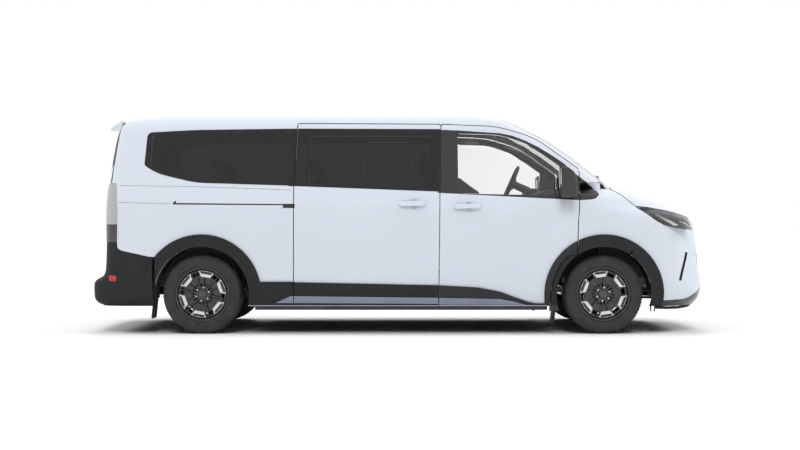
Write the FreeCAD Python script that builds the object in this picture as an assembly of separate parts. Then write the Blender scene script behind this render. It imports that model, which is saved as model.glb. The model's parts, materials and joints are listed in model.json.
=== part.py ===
import FreeCAD, Part
import math
import os
from FreeCAD import Vector

# Long-wheelbase minibus. X points forward, Y to the left, Z up, and the origin is on the ground
# under the middle of the vehicle. All sizes are millimetres.

# Driving dimensions of the whole vehicle
wheelbase = 3500.0
front_axle_x = 1775.0
rear_axle_x = front_axle_x - wheelbase
front_end_x = 2725.0
rear_end_x = -2725.0
half_width = 997.0
roof_height = 1965.0
sill_height = 244.0
floor_top = 560.0
floor_thickness = 40.0

# Wall thicknesses and shut lines
panel_gap = 7.5
trim_gap = 0.8
lid_gap = 6.5
wall = 62.0
roof_wall = 40.0
door_wall = 62.0
gate_wall = 50.0
fender_wall = 9.0
glass_thickness = 5.0
glass_inset = 1.0
seat_clearance = 0.3
flange_width = 24.0
cladding_thickness = 14.0
cladding_foot = sill_height + 6.0
cladding_gap = 1.2
door_ring_gap = 10.5

# Wheels
wheel_radius = 345.0
tyre_width = 215.0
rim_radius = 233.0
rim_width = 178.0
hub_bore = 30.0
rim_seat_radius = 216.0
wheel_plane_y = 847.0
arch_radius = 415.0
arch_band = 107.0
spoke_pairs = 6
bracket_face = 82.0
bracket_floor = 62.0
front_wheel_turn = -8.0
rear_wheel_turn = 10.0

# Steering
kingpin_y = 775.0
kingpin_z = 250.0
kingpin_lean = 13.0
strut_radius = 24.0
strut_length = 770.0
running_fit = 0.06

# Tow bar holes, jacking pads and underbody
jack_pad_x = 1100.0
jack_pad_y = 825.0
jack_pad_z = 240.0
rail_bottom = 400.0
towbar_x = -2370.0
towbar_pitch = 100.0
towbar_hole_radius = 6.5

# Hinges
door_hinge_x = 1500.0
door_hinge_y = 984.0
door_hinge_z = 860.0
door_hinge_lean = 3.0
door_hinge_heights = (800.0, 1040.0)
door_skin = 16.0
door_return = 16.0
gate_hinge_x = -2452.0
gate_hinge_z = 1898.0
gate_hinge_y = 180.0
bonnet_hinge_x = 1800.0
bonnet_hinge_z = 1250.0
bonnet_hinge_y = 752.0
bonnet_hinge_slot = 12.0
hinge_pin_radius = 4.0
hinge_barrel_radius = 7.0

# Where the panels meet, in side view
belt_fall = 0.032
rear_door_edge_x = -925.0
bumper_front_x = -2130.0
strip_level = 24.0
scallop_places = (-807.0, -423.0, -38.0, 731.0)
scallop_depth = 5.0
rail_groove_depth = 12.0
sill_inset = 6.5
middle_post_x = 340.0
front_door_edge_x = 1556.0
door_top_z = 1838.0
roof_seam_y = 712.0
roof_rear_x = -2440.0
header_x = 905.0
cowl_x = 1890.0
screen_bow = 0.000142
lamp_inner_y = 470.0
tail_lamp_inner_y = 735.0
gate_bottom_z = 700.0

# Cabin
steering_wheel_x = 1079.0
steering_wheel_y = 400.0
steering_wheel_z = 1352.0
steering_wheel_radius = 185.0
seat_width = 500.0
rear_seat_xs = (-560.0, -1420.0)

# Door handles, as (middle of the bar along the side, its height)
sliding_handle = (106.0, 1138.0)
front_handle = (585.0, 1114.0)
handle_length = 256.0
handle_height = 50.0
handle_thickness = 15.0
handle_stand = 36.0
handle_bowl_radius = 70.0
handle_bowl_depth = 17.0


def smooth_line(points):
    """Monotone cubic through points (u, value); straight beyond the ends."""
    us = [p[0] for p in points]
    vs = [p[1] for p in points]
    steps = [(vs[i + 1] - vs[i]) / (us[i + 1] - us[i]) for i in range(len(us) - 1)]
    slopes = [steps[0]]
    for before, after in zip(steps, steps[1:]):
        same_way = before * after > 0
        slopes.append(2 * before * after / (before + after) if same_way else 0.0)
    slopes.append(steps[-1])

    def value(u):
        if u <= us[0]:
            return vs[0] + slopes[0] * (u - us[0])
        if u >= us[-1]:
            return vs[-1] + slopes[-1] * (u - us[-1])
        i = 0
        while u > us[i + 1]:
            i += 1
        h = us[i + 1] - us[i]
        t = (u - us[i]) / h
        rise = vs[i] * (1 + 2 * t) * (1 - t) ** 2 + vs[i + 1] * t * t * (3 - 2 * t)
        return rise + h * (slopes[i] * t * (1 - t) ** 2 - slopes[i + 1] * t * t * (1 - t))

    return value


def ramp(u, start, end):
    """0 before start, 1 after end, smooth between."""
    t = min(1.0, max(0.0, (u - start) / (end - start)))
    return t * t * (3 - 2 * t)


# Half width of the body side against height, at mid length
side_section = smooth_line([
    (100, 930), (sill_height, 958), (330, 982), (450, half_width - 4), (560, half_width - 1),
    (800, half_width), (960, half_width - 3), (1098, half_width - 10), (1118, half_width - 14),
    (1200, 966), (1290, 945), (1780, 857), (1900, 835), (2100, 798),
])
# Height of the roof and windscreen along the middle
roof_line = smooth_line([
    (-2560, roof_height - 78), (-2450, roof_height - 46), (-2250, roof_height - 18), (-1900, roof_height - 5),
    (-1000, roof_height), (300, roof_height), (640, roof_height - 8), (850, roof_height - 22),
    (960, roof_height - 45), (1060, 1885), (1150, 1843), (1263, 1785), (1376, 1722), (1489, 1650),
    (1602, 1570), (1715, 1484), (1828, 1394), (1941, 1302), (2100, 1172), (2400, 920),
])
# Height of the bonnet along the middle
bonnet_line = smooth_line([
    (1500, 1330), (1880, 1306), (2000, 1288), (2160, 1246), (2380, 1172), (2500, 1122), (2600, 1064),
    (2660, 1010), (2760, 900),
])
# Front face along the middle, forward position against height
front_line = smooth_line([
    (150, 2560), (240, 2650), (290, 2692), (340, 2714), (420, front_end_x), (480, front_end_x - 4),
    (560, 2704), (650, 2704), (750, 2684), (890, 2664), (960, 2652), (1010, 2632), (1070, 2560), (1150, 2400),
])
# Rear face along the middle, position against height
rear_line = smooth_line([
    (200, -2560), (600, -2606), (850, -2616), (1000, -2618), (1120, -2614), (1250, -2604), (1425, -2584),
    (1600, -2560), (1700, -2542), (1800, -2514), (1880, -2482), (2000, -2420),
])


def side_half_width(x, z):
    """Half width of the body at a place in the side view."""
    width = side_section(z + belt_fall * x * ramp(z, 500, 1050))
    hollow = ramp(z, 480, 640) * (1 - ramp(z, 700, 930))
    width -= 11.0 * hollow * ramp(x, -1450, -950) * (1 - ramp(x, 950, 1350))
    width -= 26.0 * max(0.0, (-x - 1400) / 1200) ** 2
    width -= 55.0 * max(0.0, (x - 1450) / 1200) ** 2
    width -= 78.0 * max(0.0, (x - 300) / 1500) ** 2 * ramp(z, 1150, 1500)
    width -= 24.0 * max(0.0, (-x - 1000) / 1500) ** 2 * ramp(z, 1200, 1800)
    return width


def rounded_max(a, b, radius):
    """The larger of two distances, with the corner between them rounded."""
    if a <= -radius or b <= -radius:
        return max(a, b)
    return math.hypot(a + radius, b + radius) - radius


def slope_scale(line, u):
    """Turns a distance along an axis into a distance square to a sloping line."""
    slope = (line(u + 5) - line(u - 5)) / 10
    return 1 / math.sqrt(1 + slope * slope)


def cabin_distance(x, y, z):
    """Distance outside the roof, windscreen, sides and rear face; negative inside."""
    side = (abs(y) - side_half_width(x, z)) * 0.985
    rear = (rear_line(z) + y * y / 18000 - x) * 0.99
    bowed_x = x + y * y * screen_bow * ramp(x, 500, 1000)
    top = (z - roof_line(bowed_x) + y * y * 0.00009) * slope_scale(roof_line, bowed_x)
    corner = 100 - 45 * ramp(x, 500, 1000)
    return rounded_max(rounded_max(side, rear, 85), top, corner)


def flank_distance(x, y, z):
    """Distance outside the side alone."""
    return (abs(y) - side_half_width(x, z)) * 0.985


def tunnel_distance(x, y, z):
    """Distance outside the roof and sides alone, as if the cabin had no rear face."""
    side = (abs(y) - side_half_width(x, z)) * 0.985
    top = (z - roof_line(x) + y * y * 0.00009) * slope_scale(roof_line, x)
    return rounded_max(side, top, 100 - 45 * ramp(x, 500, 1000))


def nose_distance(x, y, z):
    """Distance outside the bonnet, front wings and front face; negative inside."""
    side = (abs(y) - side_half_width(x, z)) * 0.985
    front = (x - front_line(z) + y * y / 13000) * slope_scale(front_line, z)
    top = (z - bonnet_line(x) + y * y * 0.00007) * slope_scale(bonnet_line, x)
    return rounded_max(rounded_max(side, front, 330), top, 85)


def body_distance(x, y, z):
    return min(cabin_distance(x, y, z), nose_distance(x, y, z))


def reach(origin, direction, level, distance=body_distance):
    """Where a ray from inside the body meets the surface at a level outside (or inside) the skin."""
    def outside(t):
        x, y, z = origin.x + direction.x * t, origin.y + direction.y * t, origin.z + direction.z * t
        return distance(x, y, z) - level
    low, high = 0.0, 60.0
    f_low, f_high = outside(low), outside(high)
    while f_high < 0:
        low, f_low = high, f_high
        high += 60.0
        f_high = outside(high)
    for turn in range(60):
        mid = (low + high) / 2 if turn % 3 == 2 else low - f_low * (high - low) / (f_high - f_low)
        f_mid = outside(mid)
        if abs(f_mid) < 0.002:
            return origin + direction * mid
        if f_mid < 0:
            low, f_low = mid, f_mid
        else:
            high, f_high = mid, f_mid
    return origin + direction * ((low + high) / 2)


def steps_between(start, end, size):
    count = max(3, int(math.ceil(abs(end - start) / size)))
    return [start + (end - start) * i / count for i in range(count + 1)]


def lattice(start, end, size):
    """The two ends and the multiples of a size between them, so that neighbouring skins share their points."""
    first = math.ceil(start / size + 0.25)
    last = math.floor(end / size - 0.25)
    return [start] + [i * size for i in range(first, last + 1)] + [end]


def section_rays(x0, x1, angle0, angle1, step=70.0, turn=3.4, axis_z=1000.0):
    """Rays in sections across the vehicle, out to the right. Angle 0 is level, 90 straight up."""
    rows = []
    for x in lattice(x0, x1, step):
        row = []
        for angle in lattice(angle0, angle1, turn):
            a = math.radians(angle)
            row.append((Vector(x, 0, axis_z), Vector(0, -math.cos(a), math.sin(a))))
        rows.append(row)
    return rows


def plan_rays(axis_x, angle0, angle1, z0, z1, turn=4.0, step=32.0):
    """Level rays around an upright axis. Angle 0 points forward, 180 back, -90 to the right."""
    rows = []
    for angle in lattice(angle0, angle1, turn):
        a = math.radians(angle)
        rows.append([(Vector(axis_x, 0, z), Vector(math.cos(a), math.sin(a), 0)) for z in lattice(z0, z1, step)])
    return rows


def upright_rays(x0, x1, y0, y1, z, step=60.0):
    """Rays straight up over an area seen from above."""
    return [[(Vector(x, y, z), Vector(0, 0, 1)) for y in lattice(y0, y1, step)]
            for x in lattice(x0, x1, step)]


def fan_rays(origin, ahead, across, up, angles_across, angles_up, turn=5.0):
    """Rays spreading from one point about the direction ahead."""
    rows = []
    for a in steps_between(*angles_across, turn):
        row = []
        for b in steps_between(*angles_up, turn):
            direction = ahead + across * math.tan(math.radians(a)) + up * math.tan(math.radians(b))
            direction.normalize()
            row.append((origin, direction))
        rows.append(row)
    return rows


def skin_grid(rays, level, distance):
    return [[reach(o, d, level, distance) for o, d in row] for row in rays]


def grid_face(grid):
    surface = Part.BSplineSurface()
    surface.interpolate(grid)
    return surface.toShape()


def skin_solid(rays, outer, inner, distance=body_distance, inner_distance=None):
    """Solid wall between two levels of the body surface."""
    outer_grid = skin_grid(rays, outer, distance)
    inner_grid = skin_grid(rays, inner, inner_distance or distance)
    if inner_distance:
        thinnest = (outer - inner) / 3
        inner_grid = [[nearer(ray[0], out, into, thinnest) for ray, out, into in zip(*rows)]
                      for rows in zip(rays, outer_grid, inner_grid)]
    outside = grid_face(outer_grid)
    inside = grid_face(inner_grid)
    faces = [outside, inside]
    for edge, other in zip(outside.Edges, inside.Edges):
        faces.append(Part.makeRuledSurface(edge, other))
    shell = Part.makeShell(faces)
    shell.sewShape()
    solid = Part.Solid(shell)
    if solid.Volume < 0:
        solid.reverse()
    return solid


def nearer(origin, outside, inside, wall_left):
    """The inside point, drawn in so that a wall is left in front of it."""
    room = outside.distanceToPoint(origin) - wall_left
    if inside.distanceToPoint(origin) <= room:
        return inside
    along = outside - origin
    along.normalize()
    return origin + along * room


def flat_outline(points, place):
    """Closed wire of straight sides whose corners are rounded. Each point is (u, v, radius)."""
    count = len(points)
    edges = []
    ends = []
    for i, (u, v, radius) in enumerate(points):
        here = Vector(u, v, 0)
        back = Vector(points[i - 1][0], points[i - 1][1], 0) - here
        ahead = Vector(points[(i + 1) % count][0], points[(i + 1) % count][1], 0) - here
        if radius <= 0:
            ends.append((here, None, here))
            continue
        half = back.getAngle(ahead) / 2
        back.normalize()
        ahead.normalize()
        cut = radius / math.tan(half)
        middle = back + ahead
        middle.normalize()
        crest = here + middle * (radius / math.sin(half) - radius)
        ends.append((here + back * cut, crest, here + ahead * cut))
    for i in range(count):
        start, crest, end = ends[i]
        if crest is not None:
            edges.append(Part.Arc(place(start), place(crest), place(end)).toShape())
        following = ends[(i + 1) % count][0]
        if end.distanceToPoint(following) > 0.01:
            edges.append(Part.LineSegment(place(end), place(following)).toShape())
    return Part.Wire(edges)


def grown(wire, amount):
    """The same outline moved outwards (or inwards when negative)."""
    if not amount:
        return wire
    return wire.makeOffset2D(amount)


def side_cut(points, amount=0.0, y0=-1200.0, y1=-300.0):
    """Prism through the right side of the body from an outline (x, z, radius) in side view."""
    wire = flat_outline(points, lambda p: Vector(p.x, y0, p.y))
    return Part.Face(grown(wire, amount)).extrude(Vector(0, y1 - y0, 0))


def top_cut(points, amount=0.0, z0=200.0, z1=2200.0):
    """Prism from an outline (x, y, radius) seen from above."""
    wire = flat_outline(points, lambda p: Vector(p.x, p.y, z0))
    return Part.Face(grown(wire, amount)).extrude(Vector(0, 0, z1 - z0))


def end_cut(points, amount=0.0, x0=-3000.0, x1=-1000.0):
    """Prism from an outline (y, z, radius) seen from the front or the rear."""
    wire = flat_outline(points, lambda p: Vector(x0, p.x, p.y))
    return Part.Face(grown(wire, amount)).extrude(Vector(x1 - x0, 0, 0))


def box(x0, x1, y0, y1, z0, z1):
    return Part.makeBox(x1 - x0, y1 - y0, z1 - z0, Vector(x0, y0, z0))


def tube_y(x, z, radius, y0, y1):
    return Part.makeCylinder(radius, y1 - y0, Vector(x, y0, z), Vector(0, 1, 0))


def left_of(shape):
    """The same piece on the left side."""
    return shape.mirror(Vector(0, 0, 0), Vector(0, 1, 0))


def both_sides(shape):
    return Part.makeCompound([shape, left_of(shape)])


def swept_box(x0, x1, y0, y1, z0, z1, radius):
    """Block with its edges rounded."""
    block = box(x0, x1, y0, y1, z0, z1)
    return block.makeFillet(radius, block.Edges)


def largest(shape):
    """The biggest solid of a cut, without the slivers."""
    return max(shape.Solids, key=lambda s: s.Volume)


# Outlines in side view, as (x, z, corner radius)
def sliding_door_outline():
    front = middle_post_x - panel_gap / 2
    rear = rear_door_edge_x + panel_gap / 2
    return [(rear, sill_height, 0), (front - 4, sill_height, 0), (front + 8, 1240, 0), (front + 20, door_top_z - 6, 18), (rear + 28, door_top_z, 18),
            (rear, 1262, 60)]


def front_door_outline():
    rear = middle_post_x + panel_gap / 2
    edge = front_door_edge_x
    return [
        (rear - 4, sill_height, 0), (1304, sill_height, 12), (1300, 345, 400), (1334, 500, 300),
        (1400, 628, 160), (1466, 684, 30), (edge - 26, 693, 12), (edge - 18, 770, 60),
        (edge - 8, 990, 300), (edge + 6, 1170, 300),
        (edge + 14, 1440, 70), (1180, 1718, 700), (860, 1812, 900), (rear + 20, door_top_z - 6, 18),
        (rear + 8, 1240, 0)]


def front_window_outline():
    return [(508, 1222, 30), (548, 1222, 0), (1398, 1206, 24), (1400, 1468, 30), (1110, 1664, 400),
            (880, 1742, 700), (505, 1752, 24)]


def quarter_glass_outline():
    right = rear_door_edge_x - panel_gap / 2 - 3
    return [(right, 1292, 0), (-1780, 1318, 900), (-2110, 1396, 500), (-2236, 1470, 40), (-2216, 1760, 45),
            (-1804, 1782, 2500), (right + 24, 1794, 0)]


def sliding_glass_outline():
    front = middle_post_x - panel_gap / 2 - 3
    rear = rear_door_edge_x + panel_gap / 2 + 3
    return [(rear, 1289, 0), (front + 8, 1241, 0), (front + 19, 1790, 0), (rear + 25, 1794, 0)]


def bonnet_outline():
    return [(1700, 1600, 0), (1700, 1350, 0), (1862, 1266, 0), (1913, 1242, 300), (1981, 1186, 0),
            (2060, 1117, 20), (2183, 1105, 900), (2384, 1069, 900), (2498, 1038, 600), (2592, 1002, 400),
            (2720, 964, 0), (2900, 960, 0), (2900, 1600, 0)]


def headlamp_outline():
    return [(2054, 1112, 4), (2183, 1099, 900), (2384, 1063, 900), (2498, 1032, 600), (2592, 996, 400),
            (2720, 958, 0), (2900, 940, 0), (2900, 905, 0), (2559, 907, 60), (2462, 920, 300),
            (2315, 946, 200), (2249, 974, 200), (2146, 1047, 200)]


def wing_seam(offset):
    """Line where the front wing meets the bumper cover."""
    return [(1986 + offset, 692, 0), (2076 + offset, 794, 0), (2211 + offset, 948, 0), (2236 + offset, 990, 0)]


def bumper_outline():
    return [(1980, 200, 0), (1980, 684, 0)] + wing_seam(trim_gap / 2) + [
        (2300, 1080, 0), (2592, 995, 400), (2720, 957, 0), (2900, 940, 0), (2900, 200, 0)]


def fender_outline():
    upper = [(1300, 200, 0), (1300, 1290, 0), (1640, 1340, 0), (1862, 1290, 0), (2200, 1150, 0)]
    return upper + wing_seam(-trim_gap / 2)[::-1] + [(1900, 500, 0), (1900, 200, 0)]


def rear_seam(offset=0.0):
    """Line where the side meets the tailgate and the tail lamp."""
    return [(-2438 + offset, 1905, 0), (-2445 + offset, 1842, 0), (-2465 + offset, 1789, 0),
            (-2507 + offset, 1432, 0), (-2518 + offset, 1314 + trim_gap, 0)]


def lamp_front_edge(offset=0.0):
    return [(-2462 + offset, 800, 0), (-2458 + offset, 1060, 900), (-2474 + offset, 1314, 0)]


def tail_lamp_outline():
    return [(-2900, 800, 0)] + lamp_front_edge() + [(-2900, 1314, 0)]


def rear_bumper_edge(offset=0.0):
    """Top edge of the rear bumper along the side, from the arch to the lamp."""
    return [(bumper_front_x, 670 + offset, 0), (-2180, 673 + offset, 0), (-2414, 724 + offset, 60),
            (-2455 + offset, 745 + offset, 20), (-2461 + offset, 800 - trim_gap, 0)]


def rear_bumper_outline():
    lower = [(-2900, sill_height, 0), (bumper_front_x, sill_height, 0)]
    return lower + rear_bumper_edge() + [(-2900, 800 - trim_gap, 0)]


def arch_cylinder(axle_x, radius, y0=-1300.0, y1=-500.0):
    return tube_y(axle_x, wheel_radius, radius, y0, y1)


def screen_plan(front, rear, half_front, half_rear, corner=60.0):
    """Band of the windscreen seen from above, its front and rear edges bowed."""
    def bow(y):
        return front - screen_bow * y * y
    return [(rear, -half_rear, corner), (rear, half_rear, corner), (bow(half_front), half_front, corner),
            (bow(half_front * 0.6), half_front * 0.6, 900), (front, 0, 1400),
            (bow(half_front * 0.6), -half_front * 0.6, 900), (bow(half_front), -half_front, corner)]


def glazed_wall(solid, rays, outline):
    """Cuts a window with a step for the glass, and returns the wall and its pane."""
    pane_level = -(glass_inset + glass_thickness)
    rebate = skin_solid(rays, 30.0, pane_level - seat_clearance)
    opened = solid.cut(rebate.common(side_cut(outline, 2.0))).cut(side_cut(outline, -flange_width))
    pane = skin_solid(rays, -glass_inset, pane_level).common(side_cut(outline))
    return opened, largest(pane)


def inner_side_distance(x, y, z):
    return tunnel_distance(x, y, z) if x < 0 else cabin_distance(x, y, z)


def layered_panel(rays, outline, distance=cabin_distance):
    """Door made of an outer skin and a box inside it that stands back from the edges."""
    skin = skin_solid(rays, 0.0, -door_skin, distance).common(side_cut(outline))
    inner = skin_solid(rays, -door_skin + 0.5, -door_wall, distance).common(side_cut(outline, -door_return))
    return largest(skin.fuse(inner))


def body_side():
    """Rear quarter, posts, roof rail and sill of the right side, and its fixed pane."""
    rays = section_rays(-2540, 1900, -41, 84)
    wall_solid = skin_solid(rays, 0.0, -wall, cabin_distance, inner_side_distance)
    outline = [(bumper_front_x, sill_height, 0), (1290, sill_height, 0), (1290, 1290, 0), (1700, 1330, 0),
               (cowl_x, 1330, 0), (cowl_x, 1420, 0), (700, 2100, 0), (roof_rear_x, 2100, 0)]
    outline += rear_seam() + lamp_front_edge(trim_gap)[::-1] + rear_bumper_edge(trim_gap)[::-1]
    side = wall_solid.common(side_cut(outline, 0.0, -1200, -200))
    seam = -roof_seam_y - seat_clearance / 2
    side = side.cut(box(-3000, header_x + flange_width + 4, seam, 100, 1500, 2200))
    screen = top_cut(screen_plan(cowl_x + 90, header_x, 738, 668), 0.0, 1150.0, 2300.0)
    side = side.cut(screen).cut(screen_rebate())
    side = side.cut(side_cut(sliding_door_outline(), panel_gap))
    side = side.cut(side_cut(front_door_outline(), panel_gap))
    side = side.cut(arch_cylinder(rear_axle_x, arch_radius))
    side = side.cut(box(1280, 2400, -1200, -300, 100, 1290))
    side = side.cut(box(rear_door_edge_x - panel_gap / 2, 1400, -1200, -300, 100, 520))
    side, pane = glazed_wall(side, section_rays(-2350, -860, 12, 45), quarter_glass_outline())
    side = side.cut(rail_groove())
    return largest(largest(side).fuse(middle_post())), pane


def rail_groove():
    """Groove in the rear quarter that the sliding door's roller runs in, with its pocket by the door."""
    depth = skin_solid(section_rays(-2100, -860, -2, 24), 30.0, -rail_groove_depth)
    line = side_cut([(-1972, 1128, 4), (-1958, 1155, 4), (-1946, 1155, 4), (-1950, 1138, 4), (-1010, 1130, 0),
                     (-1010, 1121, 0)])
    pocket = side_cut([(-1016, 1098, 5), (-1016, 1132, 5), (-900, 1132, 0), (-900, 1098, 0)])
    return depth.common(line.fuse(pocket))


def middle_post():
    """Post behind the door joint, from the sill to the roof rail."""
    rays = section_rays(230, 440, -32, 68, 60)
    post = skin_solid(rays, -door_wall - 8.0, -door_wall - 44.0, cabin_distance)
    post = post.common(side_cut([(296, floor_top + seat_clearance, 0), (384, floor_top + seat_clearance, 0),
                                 (392, 1900, 0), (300, 1900, 0)]))
    head = skin_solid(rays, -20.0, -door_wall - 30.0, cabin_distance)
    foot_z = door_top_z + panel_gap + 4.5
    head = head.common(side_cut([(296, foot_z, 0), (388, foot_z, 0), (388, 1888, 0), (296, 1888, 0)]))
    return largest(post.fuse(head).cut(box(0, 600, -roof_seam_y - seat_clearance / 2, 100, 1500, 2200)))


def windscreen():
    rays = upright_rays(header_x - 60, cowl_x + 60, -800, 800, 1100)
    pane = skin_solid(rays, -glass_inset, -(glass_inset + glass_thickness), cabin_distance)
    plan = screen_plan(cowl_x, header_x, 760, 690)
    return largest(pane.common(top_cut(plan, 0.0, 1100.0, 2300.0)))


def cowl():
    """Plastic panel between the windscreen and the bonnet."""
    rays = upright_rays(cowl_x - 130, cowl_x + 170, -800, 800, 1000)
    panel = skin_solid(rays, -(glass_inset + glass_thickness + seat_clearance), -16.0, cabin_distance)
    front = screen_plan(cowl_x + 43, cowl_x - 300, 742, 742, 10)
    behind = screen_plan(cowl_x - 18, cowl_x - 500, 800, 800, 10)
    panel = panel.common(top_cut(front, 0.0, 1000.0, 2300.0))
    return largest(panel.cut(top_cut(behind, 0.0, 1000.0, 2300.0)))


def roof_panel():
    """Roof skin with its lining, from the windscreen header to the tailgate."""
    rays = upright_rays(-2470, header_x + 30, -760, 760, 1500)
    roof = skin_solid(rays, 0.0, -roof_wall, cabin_distance, inner_side_distance)
    y = roof_seam_y - seat_clearance / 2
    front = header_x + flange_width
    roof = roof.common(top_cut([(roof_rear_x, -y, 0), (front, -y, 0), (front, y, 0), (roof_rear_x, y, 0)]))
    roof = largest(roof.cut(screen_rebate()))
    for y in (-gate_hinge_y, gate_hinge_y):
        roof = roof.fuse(gate_hinge_arm(y))
    return largest(roof)


def gate_hinge_arm(y):
    """Arm from the roof's rear edge that carries the tailgate's hinge pin."""
    arm = box(gate_hinge_x, roof_rear_x + 6, y - 8, y + 8, gate_hinge_z - 6, gate_hinge_z + 4)
    barrel = tube_y(gate_hinge_x, gate_hinge_z, hinge_barrel_radius, y - 9, y + 9)
    return arm.fuse([barrel, tube_y(gate_hinge_x, gate_hinge_z, hinge_pin_radius, y - 24, y + 24)])


def screen_rebate():
    """Step in the roof and the front posts that the windscreen lies in."""
    rays = upright_rays(header_x - 60, cowl_x + 60, -800, 800, 1100)
    layer = skin_solid(rays, 40.0, -(glass_inset + glass_thickness + seat_clearance), cabin_distance)
    return layer.common(top_cut(screen_plan(cowl_x + 90, header_x - 4, 772, 694), 0.0, 1100.0, 2300.0))


def sliding_door():
    door = layered_panel(section_rays(-1010, 460, -41, 66), sliding_door_outline())
    door, pane = glazed_wall(door, section_rays(-980, 420, 8, 48), sliding_glass_outline())
    return with_handle(largest(door), sliding_handle), pane


def with_handle(door, place):
    """Adds a pull handle over a bowl in the door's skin. The door's side slopes by the handle's lean."""
    x, z = place
    half, rise = handle_length / 2, handle_height / 2
    out = side_half_width(x, z)
    lean = math.degrees(math.atan((side_half_width(x, z - 20) - side_half_width(x, z + 20)) / 40))
    bowl = Part.makeSphere(handle_bowl_radius, Vector(x + 12, -out - handle_bowl_radius + handle_bowl_depth, z))
    oval = flat_outline([(-half, 2, 10), (-half * 0.55, rise * 0.8, 90), (half * 0.5, rise, 90),
                         (half, 6, 10), (half * 0.75, -rise * 0.8, 60), (-half * 0.75, -rise, 60)],
                        lambda p: Vector(p.x, 0, p.y))
    bar = Part.Face(oval).extrude(Vector(0, handle_thickness, 0))
    bar = bar.makeFillet(handle_thickness * 0.35, bar.Edges)
    feet = [swept_box(u - 16, u + 16, 6, handle_stand + 8, -rise * 0.6, rise * 0.6, 5)
            for u in (-half + 34, half - 34)]
    grip = bar.fuse(feet)
    grip.rotate(Vector(0, 0, 0), Vector(1, 0, 0), -lean)
    grip.translate(Vector(x, -out - handle_stand, z))
    return largest(door.cut(bowl).fuse(grip))


def hinge_axis_y(z):
    return door_hinge_y - (z - door_hinge_z) * math.tan(math.radians(door_hinge_lean))


def door_pin(z, clearance, half_length):
    """Pin on the front door's hinge axis, right side."""
    lean = math.radians(door_hinge_lean)
    axis = Vector(0, math.sin(lean), math.cos(lean))
    middle = Vector(door_hinge_x, -hinge_axis_y(z), z)
    return Part.makeCylinder(hinge_pin_radius + clearance, 2 * half_length, middle - axis * half_length, axis)


def front_door():
    door = layered_panel(section_rays(260, 1680, -41, 66), front_door_outline())
    for z in door_hinge_heights:
        y = hinge_axis_y(z)
        pocket = box(door_hinge_x - 14, 1700, -y - hinge_barrel_radius - 1, -700, z - 12, z + 12)
        door = door.cut(pocket).cut(door_pin(z, running_fit, 26))
    door = door.cut(side_cut(front_window_outline()))
    pane = skin_solid(section_rays(430, 1480, 6, 46), -16.0, -20.0, cabin_distance)
    pane = pane.common(side_cut(front_window_outline(), -seat_clearance))
    return with_handle(largest(door), front_handle), largest(pane)


def front_fender():
    rays = section_rays(1240, 2400, -41, 74, axis_z=900.0)
    fender = skin_solid(rays, 0.0, -fender_wall, nose_distance).common(side_cut(fender_outline()))
    fender = fender.cut(side_cut(front_door_outline(), panel_gap)).cut(side_cut(bonnet_outline(), lid_gap))
    fender = fender.cut(side_cut(headlamp_outline(), trim_gap))
    fender = fender.cut(box(1300, 1960, -745, 0, 1100, 1400))
    fender = fender.cut(box(1770, 1960, -bonnet_hinge_y - bonnet_hinge_slot, 0, 1100, 1400))
    return largest(fender.cut(arch_cylinder(front_axle_x, arch_radius)))


def bonnet():
    ahead, across, up = Vector(0, 0, 1), Vector(0, 1, 0), Vector(1, 0, 0)
    rays = fan_rays(Vector(2100, 0, 500), ahead, across, up, (-60, 60), (-27, 53), 4.5)
    panel = skin_solid(rays, 0.0, -24.0, nose_distance)
    panel = panel.common(side_cut(bonnet_outline(), 0.0, -1100.0, 1100.0))
    behind = screen_plan(cowl_x + 60, cowl_x - 400, 980, 980, 10)
    panel = largest(panel.cut(top_cut(behind)))
    for y in (-bonnet_hinge_y, bonnet_hinge_y):
        panel = panel.fuse(bonnet_hinge_arm(y))
    return largest(panel)


def bonnet_hinge_arm(y):
    """Plate from the underside of the bonnet back to its hinge pin."""
    x, z = bonnet_hinge_x, bonnet_hinge_z
    plate = flat_outline([(x - 12, z - 12, 0), (x + 60, z - 12, 20), (x + 150, z - 24, 0),
                          (x + 150, z + 30, 0), (x + 60, z + 12, 20), (x - 12, z + 12, 8)],
                         lambda p: Vector(p.x, y - 4, p.y))
    arm = Part.Face(plate).extrude(Vector(0, 8, 0))
    arm = arm.cut(tube_y(x, z, hinge_pin_radius + running_fit, y - 10, y + 10))
    ahead, across, up = Vector(0, 0, 1), Vector(0, 1, 0), Vector(1, 0, 0)
    above = fan_rays(Vector(1950, 0, 500), ahead, across, up, (-60, 60), (-27, 15), 6.0)
    return arm.cut(skin_solid(above, 60.0, -10.0, nose_distance))


def front_wrap(outer, inner, z0=240.0, z1=1015.0):
    return skin_solid(plan_rays(1750, -75, 75, z0, z1), outer, inner, nose_distance)


def lamp_rays():
    return fan_rays(Vector(1900, -200, 1000), Vector(1, -1, 0), Vector(1, 1, 0), Vector(0, 0, 1), (-41, 41),
                    (-13, 14), 4.0)


def headlamp():
    lens = skin_solid(lamp_rays(), -1.0, -60.0, nose_distance)
    lens = lens.common(side_cut(headlamp_outline(), 0.0, -1100.0, -lamp_inner_y))
    return largest(lens)


def front_bumper():
    """White bumper cover with its openings for the grille and the corner slots."""
    cover = front_wrap(0.0, -22.0)
    cover = cover.common(side_cut(bumper_outline(), 0.0, -1100.0, 1100.0))
    lamp = side_cut(headlamp_outline(), trim_gap, -1100.0, -lamp_inner_y + trim_gap)
    cover = cover.cut(lamp).cut(left_of(lamp))
    arch = arch_cylinder(front_axle_x, arch_radius, -1300, 1300)
    cover = cover.cut(arch)
    cover = cover.cut(end_cut(grille_outline(), 0.0, 2200.0, 2900.0))
    for hole in (corner_slot_cut(), left_of(corner_slot_cut()), intake_cut(), left_of(intake_cut())):
        cover = cover.cut(hole)
    lower = lower_band_cut()
    return largest(cover.cut(lower))


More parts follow.
